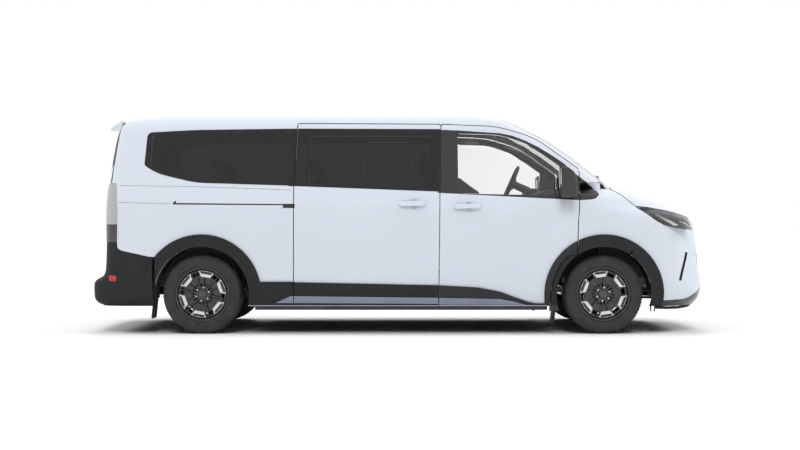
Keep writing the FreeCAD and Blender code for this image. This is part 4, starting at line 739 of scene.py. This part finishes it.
nuts, cap = nutTree(), lathe(hubCap, 36)
for (end, side), place in wheelPlaces.items():
    sign = -1 if side == "right" else 1
    turn = math.radians(nutRing[end + "Turn"] + 90) * -sign
    seat = (place[0], place[1] + sign * nutRing["seatY"], place[2])
    ring = grownMesh("wheelNuts_%s_%s" % (end, side), nuts, {
        "Count": nutRing["count"], "Ring Radius": nutRing["ringRadius"], "Nut Radius": nutRing["nutRadius"],
        "Nut Length": nutRing["nutLength"], "Place": seat, "Turn": (math.radians(-90 * sign), turn, 0.0),
        "Finish": silver})
    settle(ring, None, "wheel_%s_%s" % (end, side))
    makePiece("hubCap_%s_%s" % (end, side), onWheel(cap, side, place), looks["chassis_steel"],
              "wheel_%s_%s" % (end, side))
print("wheel nuts and caps ready")

# lines and small trims on the body, made on the right and mirrored
sideSkin = skinOf("body_side_right", "front_fenders", "rear_bumper", "tail_lamps")
paneSkin = skinOf("sliding_door_glass")
bumperSkin = skinOf("rear_bumper")
lampSkin = skinOf("headlamps")
gateSkin = skinOf("tailgate", "tailgate_glass")
mirrorSkin = skinOf("front_door_trim_right")
screenSkin = skinOf("windscreen", "cowl")

seams = {
    "width": 0.0032,
    "height": 0.0004,
    "belt": [(-2.448, 1.2935), (-1.786, 1.283), (-1.30, 1.267), (-0.945, 1.2525)],
    "lower": [(-2.448, 1.1455), (-1.99, 1.1335)],
}
railInsert = {"line": [(-1.945, 1.1318), (-1.018, 1.1256)], "width": 0.0045, "height": 0.0052}
paneFrame = {"outline": [(-0.313, 1.319), (0.109, 1.316), (0.109, 1.672), (-0.313, 1.672)], "corner": 0.055,
             "width": 0.006, "height": 0.0009}
reflector = {"outline": [(-2.534, 0.462), (-2.468, 0.458), (-2.468, 0.506), (-2.534, 0.512)], "corner": 0.008,
             "height": 0.0022}

for label in ("belt", "lower"):
    line = ribbonOn(sideSkin, sideView, seams[label], seams["width"], seams["height"], 0.03)
    makePiece("bodySeam_" + label, bothSides(line), seamDark, "body")
rail = ribbonOn(sideSkin, sideView, railInsert["line"], railInsert["width"], railInsert["height"], 0.03)
makePiece("doorRail", bothSides(rail), looks["trim_black"], "body")
outline = rounded(paneFrame["outline"], paneFrame["corner"])
frameLine = ribbonOn(paneSkin, sideView, outline, paneFrame["width"], paneFrame["height"], 0.02, closed=True)
makePiece("slidingPaneFrame_right", frameLine, looks["trim_black"], "body")
makePiece("slidingPaneFrame_left", flipped(*frameLine), looks["trim_black"], "body")
outline = rounded(reflector["outline"], reflector["corner"], 4)
red = patchOn(bumperSkin, sideView, outline, reflector["height"])
makePiece("rearReflectors", bothSides(red), redLens, "body")
print("side trims ready")

mirrorPane = {"outline": [(-1.103, 1.236), (-0.945, 1.232), (-0.940, 1.405), (-1.090, 1.412)], "corner": 0.03,
              "height": 0.0012}
outline = rounded(mirrorPane["outline"], mirrorPane["corner"], 5)
pane = patchOn(mirrorSkin, mirrorView, outline, mirrorPane["height"])
makePiece("mirrorPane_right", pane, mirrorLook, "front_door_right")
makePiece("mirrorPane_left", flipped(*pane), mirrorLook, "front_door_left")
print("mirror panes ready")

# lamps: thin outer lens over a dark bowl, with a projector and a light line
lampBowl = {"depth": 0.042, "shell": 0.0025, "dark": (0.012, 0.013, 0.015), "grey": (0.20, 0.21, 0.23),
            "bright": (0.80, 0.81, 0.83), "centre": (1.9, 0.2), "facing": 0.25, "reach": 0.5, "match": 0.004,
            "chevron": [(2.232, 1.040), (2.262, 1.046), (2.452, 0.948), (2.405, 0.940)],
            "facet": [(2.168, 1.086), (2.372, 1.060), (2.368, 1.040), (2.190, 1.052)],
            "lightLine": [(2.47, 0.985), (2.60, 0.955), (2.66, 0.935), (2.66, 0.926), (2.59, 0.944),
                          (2.46, 0.974)]}


def bowlLook():
    material, tree, shader = newMaterial("lampBowl", Specular_IOR_Level=0.2)
    point = objectPoint(tree)
    bright = insideOf(tree, point, [lampBowl["chevron"], lampBowl["lightLine"]])
    grey = insideOf(tree, point, [lampBowl["facet"]])
    base = blendColour(tree, grey, lampBowl["dark"], lampBowl["grey"])
    tree.links.new(blendColour(tree, bright, base, lampBowl["bright"]), shader.inputs["Base Color"])
    tree.links.new(combine(tree, "MULTIPLY", bright, 0.4), shader.inputs["Metallic"])
    tree.links.new(shift(tree, grain(tree, 80, 3), 0.16, 0.26), shader.inputs["Roughness"])
    raise_(tree, shader, cells(tree, 160), 0.05, 0.0006)
    return material


# the front faces of the solid lamp
def outerFaces():
    mesh = nodes["headlamps"].data
    shape = bmesh.new()
    shape.from_mesh(mesh)
    bmesh.ops.remove_doubles(shape, verts=shape.verts, dist=2e-5)
    shape.normal_update()
    behind = lampBowl["centre"]
    gone = []
    for face in shape.faces:
        centre = face.calc_center_median()
        way = Vector((centre.x - behind[0], centre.y - math.copysign(behind[1], centre.y), 0)).normalized()
        seen = lampSkin.ray_cast(centre + way * lampBowl["reach"], -way)[0]
        hidden = seen is None or (seen - centre).length >= lampBowl["match"]
        if hidden or face.normal.dot(way) <= lampBowl["facing"]:
            gone.append(face)
    bmesh.ops.delete(shape, geom=gone, context="FACES")
    outer = bpy.data.meshes.new("lampOuter")
    shape.to_mesh(outer)
    shape.free()
    return outer


def thickened(mesh, thickness, inner):
    shape = bmesh.new()
    shape.from_mesh(mesh)
    shape.normal_update()
    shape.verts.index_update()
    upper = [v.co.copy() for v in shape.verts]
    lower = [v.co - v.normal * thickness for v in shape.verts]
    faces = [[v.index for v in face.verts] for face in shape.faces]
    count = len(upper)
    walls = []
    for e in shape.edges:
        if e.is_boundary:
            loop = e.link_loops[0]
            a, b = loop.vert.index, loop.link_loop_next.vert.index
            walls.append([b, a, a + count, b + count])
    if inner:
        part = (upper + lower, [[i + count for i in face] for face in faces] + [wall[::-1] for wall in walls])
    else:
        part = (upper + lower, faces + [[i + count for i in face[::-1]] for face in faces] + walls)
    shape.free()
    return part


outerLens = outerFaces()
makePiece("lampLens", thickened(outerLens, lampBowl["shell"], False), looks["lamp_lens"], "body",
          ["headlamps"], 40)
makePiece("lampBowls", thickened(outerLens, lampBowl["depth"], True), bowlLook(), "body",
          turnOut=False)
projector = {"places": [(2.440, -0.745, 0.972), (2.500, -0.655, 0.962)], "radius": 0.027,
             "profile": [(-0.030, 0.9), (0.0, 1.15), (0.004, 1.1), (0.002, 1.0), (0.010, 0.85), (0.016, 0.5),
                         (0.018, 1 / 27)]}
profile = [(along, projector["radius"] * share) for along, share in projector["profile"]]
for i, place in enumerate(projector["places"]):
    barrels = bothSides(lathe(profile, 32, place, "X"))
    makePiece("lampProjector_%d" % i, barrels, silver, "body")
print("headlamps ready")

# the corner between the pillar foot and the fender, closed by a thin painted sheet on both sides
cornerSheet = {"start": 1.549, "end": 1.785, "columns": 16, "rows": 8, "lap": 0.007, "proud": 0.0006,
               "wall": 0.003, "lowest": 1.20, "highest": 1.42, "shelf": 1.272, "outermost": -0.75,
               "scan": 0.002}


def firstHit(skin, x, heights):
    for z in heights:
        place = skin.ray_cast(*sideView(x, z))[0]
        if place is not None and place.y < cornerSheet["outermost"]:
            return z
    return None


def cornerPart():
    pillar, fender = skinOf("body_side_right", "cowl", "windscreen"), skinOf("front_fenders")
    count = int((cornerSheet["highest"] - cornerSheet["lowest"]) / cornerSheet["scan"])
    upward = [cornerSheet["lowest"] + i * cornerSheet["scan"] for i in range(count)]
    columns = []
    start, run = cornerSheet["start"], cornerSheet["end"] - cornerSheet["start"]
    for i in range(cornerSheet["columns"]):
        x = start + run * i / (cornerSheet["columns"] - 1)
        high = firstHit(pillar, x, [z for z in upward if z > cornerSheet["shelf"]])
        low = firstHit(fender, x, upward[::-1])
        if high is None or low is None:
            continue
        top = pillar.ray_cast(*sideView(x, high + cornerSheet["lap"]))[0]
        foot = fender.ray_cast(*sideView(x, min(low, high) - cornerSheet["lap"]))[0]
        if top is not None and foot is not None:
            columns.append((foot, top))
    outer, inner, rows = [], [], cornerSheet["rows"]
    for foot, top in columns:
        for k in range(rows):
            spot = foot.lerp(top, k / (rows - 1))
            outer.append(spot + Vector((0, -cornerSheet["proud"], 0)))
            inner.append(spot + Vector((0, cornerSheet["wall"], 0)))
    count, faces = len(outer), []
    for i in range(len(columns) - 1):
        for k in range(rows - 1):
            a, b, c, d = i * rows + k, (i + 1) * rows + k, (i + 1) * rows + k + 1, i * rows + k + 1
            faces += [[a, b, c, d], [a + count, d + count, c + count, b + count]]
    last = (len(columns) - 1) * rows
    rim = [i * rows for i in range(len(columns))] + [last + k for k in range(1, rows)]
    rim += [i * rows + rows - 1 for i in range(len(columns) - 2, -1, -1)] + list(range(rows - 2, 0, -1))
    for a, b in zip(rim, rim[1:] + rim[:1]):
        faces.append([a, a + count, b + count, b])
    return outer + inner, faces


makePiece("pillarFoot", bothSides(cornerPart()), looks["paint"], "body")
print("pillar foot ready")

# weather seals in the gaps round the doors, so that no light passes
sealSizes = {"width": 0.0052, "near": 0.026, "far": 0.046, "aside": 0.009, "step": 0.03, "offset": 0.00375,
             "outermost": -0.6, "jump": 0.03}
# each line's points are length, height and the radius of the corner there
sealLines = {
    "front": ("body", [(0.340, 0.30, 0), (0.35175, 1.240, 0), (0.36375, 1.832, 0.018), (0.860, 1.812, 0.9),
                       (1.180, 1.718, 0.7), (1.556, 1.450, 0)]),
    "hinge": ("front_door_", [(1.570, 1.425, 0), (1.562, 1.170, 0.3), (1.548, 0.990, 0.3),
                              (1.539, 0.800, 0)]),
    "sliding": ("body", [(-0.92125, 0.30, 0), (-0.92125, 1.262, 0.06), (-0.89325, 1.838, 0.018),
                         (0.352, 1.832, 0)]),
}
doorSkin = skinOf("body_side_right", "front_fenders")


def arcLine(corners, steps=6):
    out = [Vector(corners[0][:2])]
    for before, corner, after in zip(corners, corners[1:], corners[2:]):
        here = Vector(corner[:2])
        back, on = (Vector(before[:2]) - here).normalized(), (Vector(after[:2]) - here).normalized()
        reach = corner[2] * math.tan((math.pi - back.angle(on)) / 2)
        start, end = here + back * reach, here + on * reach
        out += [start * (1 - t) ** 2 + here * 2 * t * (1 - t) + end * t ** 2
                for t in [k / steps for k in range(steps + 1)]]
    return out + [Vector(corners[-1][:2])]


def sealPart(corners):
    points = spaced(arcLine(corners), sealSizes["step"])
    rows, depth = [], None
    for i, point in enumerate(points):
        along = (points[min(i + 1, len(points) - 1)] - points[max(i - 1, 0)]).normalized()
        across = Vector((-along.y, along.x))
        middle = point + across * sealSizes["offset"]
        aside = middle + across * sealSizes["aside"]
        place = doorSkin.ray_cast(*sideView(aside.x, aside.y))[0]
        if place is not None and place.y < sealSizes["outermost"]:
            if depth is None or abs(place.y - depth) < sealSizes["jump"]:
                depth = place.y
        if depth is None:
            continue
        one, two = middle - across * sealSizes["width"] / 2, middle + across * sealSizes["width"] / 2
        near, far = depth + sealSizes["near"], depth + sealSizes["far"]
        rows.append([(one.x, near, one.y), (two.x, near, two.y), (two.x, far, two.y), (one.x, far, one.y)])
    faces = [[4 * i + k, 4 * i + (k + 1) % 4, 4 * i + 4 + (k + 1) % 4, 4 * i + 4 + k]
             for i in range(len(rows) - 1) for k in range(4)]
    last = 4 * (len(rows) - 1)
    return [p for row in rows for p in row], faces + [[0, 1, 2, 3], [last + 3, last + 2, last + 1, last]]


for label, (body, corners) in sealLines.items():
    part = sealPart(corners)
    for side, shape in (("right", part), ("left", flipped(*part))):
        carrier = body + side if body != "body" else body
        makePiece("doorSeal_%s_%s" % (label, side), shape, seamDark, carrier)
print("seals ready")

# black corner of the front window, third brake lamp, silver ring of each wheel
windowCorner = {"height": 0.0010, "outline": [(0.5083, 1.360), (0.524, 1.358), (0.600, 1.298), (0.690, 1.234),
                                              (0.690, 1.222), (0.5083, 1.225)]}
stopLamp = {"line": [(-0.19, 1.822), (0.19, 1.822)], "width": 0.014, "height": 0.002}
wheelRing = [(0.0783, 0.2250), (0.0836, 0.2254), (0.0842, 0.2262), (0.0842, 0.2326), (0.0836, 0.2334),
             (0.0783, 0.2338)]
windowSkin = skinOf("front_door_glass_right")
patch = patchOn(windowSkin, sideView, windowCorner["outline"], windowCorner["height"], 0.05)
for side, part in (("right", patch), ("left", flipped(*patch))):
    makePiece("windowCorner_" + side, part, looks["trim_black"], "front_door_" + side)
ring = lathe(wheelRing + wheelRing[:1], 72, closed=False)
for (end, side), place in wheelPlaces.items():
    makePiece("rimRing_%s_%s" % (end, side), onWheel(ring, side, place), silver, "wheel_%s_%s" % (end, side))
stopLine = ribbonOn(gateSkin, rearView, stopLamp["line"], stopLamp["width"], stopLamp["height"], 0.03)
makePiece("highStopLamp", stopLine, redLens, "tailgate")

# ridges on the spokes, six pairs to a wheel; each station is a reach, a half width and a rise
spoke = {"turns": (-11.0, 11.0), "low": 0.060, "high": 0.0745, "count": 6, "start": 37.0, "crest": 0.45,
         "stations": ((0.062, 0.013, 0.0), (0.10, 0.011, -0.002), (0.15, 0.010, 0.002),
                      (0.186, 0.007, 0.004))}


def spokePart():
    parts = []
    for i in range(spoke["count"]):
        for off in spoke["turns"]:
            angle = math.radians(spoke["start"] + 360 / spoke["count"] * i + off)
            way = Vector((math.cos(angle), math.sin(angle)))
            side = Vector((-math.sin(angle), math.cos(angle)))
            spots = []
            for reach, wide, rise in spoke["stations"]:
                low, top = spoke["low"], spoke["high"] + rise
                crest = wide * spoke["crest"]
                for offset, level in ((-wide, low), (-crest, top), (crest, top), (wide, low)):
                    flat = way * reach + side * offset
                    spots.append((flat.x, level, flat.y))
            faces = [[4 * j + k, 4 * j + (k + 1) % 4, 4 * j + 4 + (k + 1) % 4, 4 * j + 4 + k]
                     for j in range(3) for k in range(4)] + [[0, 1, 2, 3], [15, 14, 13, 12]]
            parts.append((spots, faces))
    return joined(*parts)


spokes = spokePart()
for (end, side), place in wheelPlaces.items():
    makePiece("wheelSpokes_%s_%s" % (end, side), onWheel(spokes, side, place), looks["trim_black"],
              "wheel_%s_%s" % (end, side))
print("wheel spokes and rings ready")

# black lines along the lamps, lip under the front bumper and brackets behind it
lampEdge = {"upper": [(2.085, 1.104), (2.20, 1.094), (2.36, 1.062), (2.47, 1.020), (2.545, 0.985)],
            "upperWidth": 0.012, "lower": [(2.20, 1.020), (2.30, 0.955), (2.40, 0.928), (2.52, 0.916)],
            "lowerWidth": 0.014, "height": 0.0012, "step": 0.01}
lines = [ribbonOn(lampSkin, sideView, lampEdge[edge], lampEdge[edge + "Width"], lampEdge["height"],
                  lampEdge["step"]) for edge in ("upper", "lower")]
lampEdges = joined(*lines)
makePiece("lampEdges", bothSides(lampEdges), looks["trim_black"], "body")
lowerTrim = {"lip": [(2.235, -0.925, 0.230), (2.33, -0.895, 0.225), (2.45, -0.82, 0.224),
                     (2.56, -0.67, 0.230), (2.635, -0.44, 0.238), (2.665, -0.2, 0.240)],
             "lipMiddle": (2.668, 0.0, 0.240), "lipRadii": (0.016, 0.013), "bracketRadii": (0.012, 0.007),
             "bracket": [(2.212, -0.80, 0.262), (2.212, -0.80, 0.192), (2.246, -0.80, 0.188),
                         (2.250, -0.80, 0.262)]}
lip = lowerTrim["lip"] + [lowerTrim["lipMiddle"]] + [(x, -y, z) for x, y, z in lowerTrim["lip"][::-1]]
lipTube = tubeAlong(lip, lowerTrim["lipRadii"], 12)
makePiece("bumperLip", lipTube, looks["cladding_black"], "body")
bracket = tubeAlong(lowerTrim["bracket"], lowerTrim["bracketRadii"], 8)
makePiece("underBrackets", bothSides(bracket), looks["chassis_steel"], "body")
print("lower trims ready")

# wipers: a curved blade held by an arm, lying low on each pane
wiper = {"lift": 0.0045, "blade": (0.004, 0.004), "arm": (0.006, 0.003), "armLift": 0.008, "rootLift": 0.004,
         "bendLift": 0.003, "kneeLift": 0.004, "root": (0.010, 0.004), "bend": (0.008, 0.004),
         "frontLeft": ([(1.772, 0.50), (1.804, 0.26), (1.818, 0.02)], (1.832, 0.32)),
         "frontRight": ([(1.817, -0.06), (1.804, -0.26), (1.778, -0.46)], (1.832, -0.22)),
         "rear": ([(-0.05, 1.475), (0.20, 1.482), (0.42, 1.475)], (0.02, 1.43))}


def wiperPart(skin, view, blade, pivot):
    line = dropOn(skin, view, spaced(blade, 0.05), 0.5)
    points = [place + normal * wiper["lift"] for place, normal in line]
    strip = tubeAlong(points, wiper["blade"], 8)
    middle, facing = line[len(line) // 2]
    root, rootFacing = dropOn(skin, view, [pivot])[0]
    start, end = root + rootFacing * wiper["rootLift"], middle + facing * wiper["armLift"]
    bend = start.lerp(end, 0.25) + rootFacing * wiper["bendLift"]
    knee = start.lerp(end, 0.6) + facing * wiper["kneeLift"]
    arm = tubeAlong([start, bend, knee, end, middle + facing * wiper["lift"]],
                    [wiper["root"], wiper["bend"], wiper["arm"], wiper["arm"], wiper["arm"]], 8)
    return joined(strip, arm)


frontWipers = [wiperPart(screenSkin, topView, *wiper[which]) for which in ("frontLeft", "frontRight")]
rearWiper = wiperPart(gateSkin, rearView, *wiper["rear"])
makePiece("frontWipers", joined(*frontWipers), looks["trim_black"], "body")
makePiece("rearWiper", rearWiper, looks["trim_black"], "tailgate")
print("wipers ready")

# seats: pads inflated by the cloth solver, one set of shapes carried to every seat
seatPad = {"voxel": 0.013, "pressure": 4.0, "frames": 20, "cap": 0.016, "width": 0.480, "lean": 13.0,
           "bolster": 0.085, "bolsterRise": 0.022, "backUp": 0.060, "backAft": 0.060, "headAft": 0.068,
           "headUp": 0.560, "cushionAft": 0.008}
plinthSize = {"from": 0.03, "to": 0.39, "half": 0.19, "low": 0.562, "lap": 0.012, "bevel": 0.014,
              "outerReach": 0.535}
seatSets = {
    "front": {"base": 0.830, "places": [(0.440, -0.400), (0.440, 0.400)], "node": "front_seats"},
    "rear": {"base": 0.790, "places": [(x, y) for x in (-0.560, -1.420) for y in (-0.530, 0.0, 0.530)],
             "node": "rear_seats"},
}


def softBox(low, high, bevel):
    shape = bmesh.new()
    bmesh.ops.create_cube(shape, size=1.0)
    for v in shape.verts:
        v.co = Vector([low[k] + (high[k] - low[k]) * (v.co[k] + 0.5) for k in range(3)])
    bmesh.ops.bevel(shape, geom=shape.edges[:], offset=bevel, segments=3, affect="EDGES", profile=0.5)
    shape.verts.index_update()
    part = [tuple(v.co) for v in shape.verts], [[v.index for v in face.verts] for face in shape.faces]
    shape.free()
    return part


def inflated(name, *parts):
    vertices, faces = joined(*parts)
    mesh = bpy.data.meshes.new(name)
    mesh.from_pydata(vertices, [], faces)
    pad = bpy.data.objects.new(name, mesh)
    bpy.context.collection.objects.link(pad)
    remesh = pad.modifiers.new("voxels", "REMESH")
    remesh.mode = "VOXEL"
    remesh.voxel_size = seatPad["voxel"]
    pad.data = bpy.data.meshes.new_from_object(pad.evaluated_get(bpy.context.evaluated_depsgraph_get()))
    pad.modifiers.clear()
    start = [v.co.copy() for v in pad.data.vertices]
    cloth = pad.modifiers.new("swell", "CLOTH")
    cloth.settings.use_pressure = True
    cloth.settings.uniform_pressure_force = seatPad["pressure"]
    cloth.settings.effector_weights.gravity = 0.0
    cloth.point_cache.frame_start = 1
    cloth.point_cache.frame_end = seatPad["frames"]
    for number in range(1, seatPad["frames"] + 1):
        bpy.context.scene.frame_set(number)
    moved = bpy.data.meshes.new_from_object(pad.evaluated_get(bpy.context.evaluated_depsgraph_get()))
    pad.modifiers.clear()
    for v, before, after in zip(pad.data.vertices, start, moved.vertices):
        way = after.co - before
        v.co = before + way * min(1.0, seatPad["cap"] / max(way.length, 1e-6))
    bpy.context.scene.frame_set(1)
    part = [v.co.copy() for v in pad.data.vertices], [list(face.vertices) for face in pad.data.polygons]
    bpy.data.objects.remove(pad)
    return part


def seatShapes():
    half, side, rise = seatPad["width"] / 2, seatPad["bolster"], seatPad["bolsterRise"]
    middle = half - side * 0.8
    cushion = [softBox((-0.005, -middle, 0.008), (0.462, middle, 0.104), 0.028)]
    back = [softBox((-0.046, -middle, 0.010), (0.034, middle, 0.545), 0.026)]
    for sign in (-1, 1):
        a, b = sorted((sign * half, sign * (half - side)))
        cushion.append(softBox((0.0, a, 0.008), (0.455, b, 0.104 + rise * 0.7), 0.026))
        back.append(softBox((-0.046, a, 0.010), (0.034 + rise * 0.8, b, 0.470), 0.026))
    head = [softBox((-0.040, -0.118, 0.0), (0.030, 0.118, 0.150), 0.028)]
    return inflated("cushionShape", *cushion), inflated("backShape", *back), inflated("headShape", *head)


def leaned(part, place, extra=0.0):
    c, s = math.cos(math.radians(-seatPad["lean"])), math.sin(math.radians(-seatPad["lean"]))
    turned = [(x * c + (z + extra) * s, y, -x * s + (z + extra) * c) for x, y, z in part[0]]
    return movedTo((turned, part[1]), place)


cushionShape, backShape, headShape = seatShapes()
for row, settings in seatSets.items():
    for i, (x, y) in enumerate(settings["places"]):
        base, up = settings["base"], settings["base"] + seatPad["backUp"]
        pads = {"Cushion": movedTo(cushionShape, (x - seatPad["cushionAft"], y, base)),
                "Back": leaned(backShape, (x - seatPad["backAft"], y, up)),
                "Head": leaned(headShape, (x - seatPad["headAft"], y, up), seatPad["headUp"])}
        for kind, part in pads.items():
            pad = makePiece("seat%s_%s%d" % (kind, row, i), part, looks["seat_fabric"], "body",
                            [settings["node"]], 60)
        inner, outer = y - plinthSize["half"], y + plinthSize["half"]
        if row == "rear" and x < -1.0 and y:     # the last bench stands between the wheel arches
            inner, outer = sorted((y - math.copysign(plinthSize["half"], y),
                                   math.copysign(plinthSize["outerReach"], y)))
        plinth = softBox((x + plinthSize["from"], inner, plinthSize["low"]),
                         (x + plinthSize["to"], outer, base + plinthSize["lap"]), plinthSize["bevel"])
        makePiece("seatPlinth_%s%d" % (row, i), plinth, looks["cabin_plastic"], "body",
                  [settings["node"]])
print("seats ready")

studio = {
    "floorSize": 400.0,
    "floorCamera": 0.98,
    "floorOther": 0.92,
    "worldDiffuse": 0.46,     # the sky as matt surfaces see it: nothing at skyFrom, all of it at skyFull
    "skyFrom": 0.12,
    "skyFull": 0.62,
    "sideStrength": 0.94,     # one soft lamp for each side, at sideHeight degrees above the floor
    "sideHeight": 46.0,
    "sideSoftness": 24.0,
    "topStrength": 0.10,
    "topSoftness": 60.0,
    "lampTint": (0.975, 0.985, 1.0),
    "camera": (0.0, -12.555, 0.949),     # where the photograph was taken from, level with the door handles
    "lens": 59.94,
}


def makeFloor():
    mesh = bpy.data.meshes.new("studioFloor")
    half = studio["floorSize"]
    corners = [(-half, -half, 0), (half, -half, 0), (half, half, 0), (-half, half, 0)]
    mesh.from_pydata(corners, [], [(0, 1, 2, 3)])
    floor = bpy.data.objects.new("studioFloor", mesh)
    bpy.context.collection.objects.link(floor)
    material = bpy.data.materials.new("paleFloor")
    material.use_nodes = True
    tree = material.node_tree
    tree.nodes.clear()
    path = addNode(tree, "ShaderNodeLightPath")
    matt = addNode(tree, "ShaderNodeBsdfDiffuse")
    out = addNode(tree, "ShaderNodeOutputMaterial")
    camera, other = studio["floorCamera"], studio["floorOther"]
    tone = blendColour(tree, path.outputs["Is Camera Ray"], [other] * 3, [camera] * 3)
    tree.links.new(tone, matt.inputs["Color"])
    tree.links.new(matt.outputs[0], out.inputs["Surface"])
    mesh.materials.append(material)


def makeWorld():
    world = bpy.data.worlds.new("studioWorld")
    bpy.context.scene.world = world
    world.use_nodes = True
    tree = world.node_tree
    tree.nodes.clear()
    path = addNode(tree, "ShaderNodeLightPath")
    seen = combine(tree, "MAXIMUM", path.outputs["Is Camera Ray"], path.outputs["Is Glossy Ray"])
    mirrored = combine(tree, "MAXIMUM", seen, path.outputs["Is Transmission Ray"])
    place = addNode(tree, "ShaderNodeTexCoord")
    height = splitOf(tree, place.outputs["Generated"])[2]
    soft = shift(tree, height, 0.0, studio["worldDiffuse"], studio["skyFrom"], studio["skyFull"])
    strength = combine(tree, "MAXIMUM", soft, mirrored)
    sky = addNode(tree, "ShaderNodeBackground", {"Color": (1, 1, 1, 1)})
    out = addNode(tree, "ShaderNodeOutputWorld")
    tree.links.new(strength, sky.inputs["Strength"])
    tree.links.new(sky.outputs[0], out.inputs["Surface"])


def addLamp(name, around, above, strength, softness):
    lamp = bpy.data.lights.new(name, "SUN")
    lamp.energy = strength
    lamp.angle = math.radians(softness)
    lamp.color = studio["lampTint"]
    thing = bpy.data.objects.new(name, lamp)
    bpy.context.collection.objects.link(thing)
    thing.rotation_euler = (math.radians(90 - above), 0, math.radians(around))
    thing.visible_glossy = False
    thing.visible_transmission = False


def makeCamera():
    lens = bpy.data.cameras.new("photoCamera")
    lens.lens = studio["lens"]
    lens.sensor_width = 36.0
    lens.clip_end = 300.0
    camera = bpy.data.objects.new("photoCamera", lens)
    camera.location = studio["camera"]
    camera.rotation_euler = (math.radians(90), 0, 0)
    bpy.context.collection.objects.link(camera)
    bpy.context.scene.camera = camera


bpy.context.scene.view_settings.view_transform = "Standard"
makeCamera()
makeFloor()
makeWorld()
for name, around in (("lampRight", 0), ("lampFront", 90), ("lampLeft", 180), ("lampRear", 270)):
    addLamp(name, around, studio["sideHeight"], studio["sideStrength"], studio["sideSoftness"])
addLamp("lampTop", 0, 90, studio["topStrength"], studio["topSoftness"])
print("studio ready")
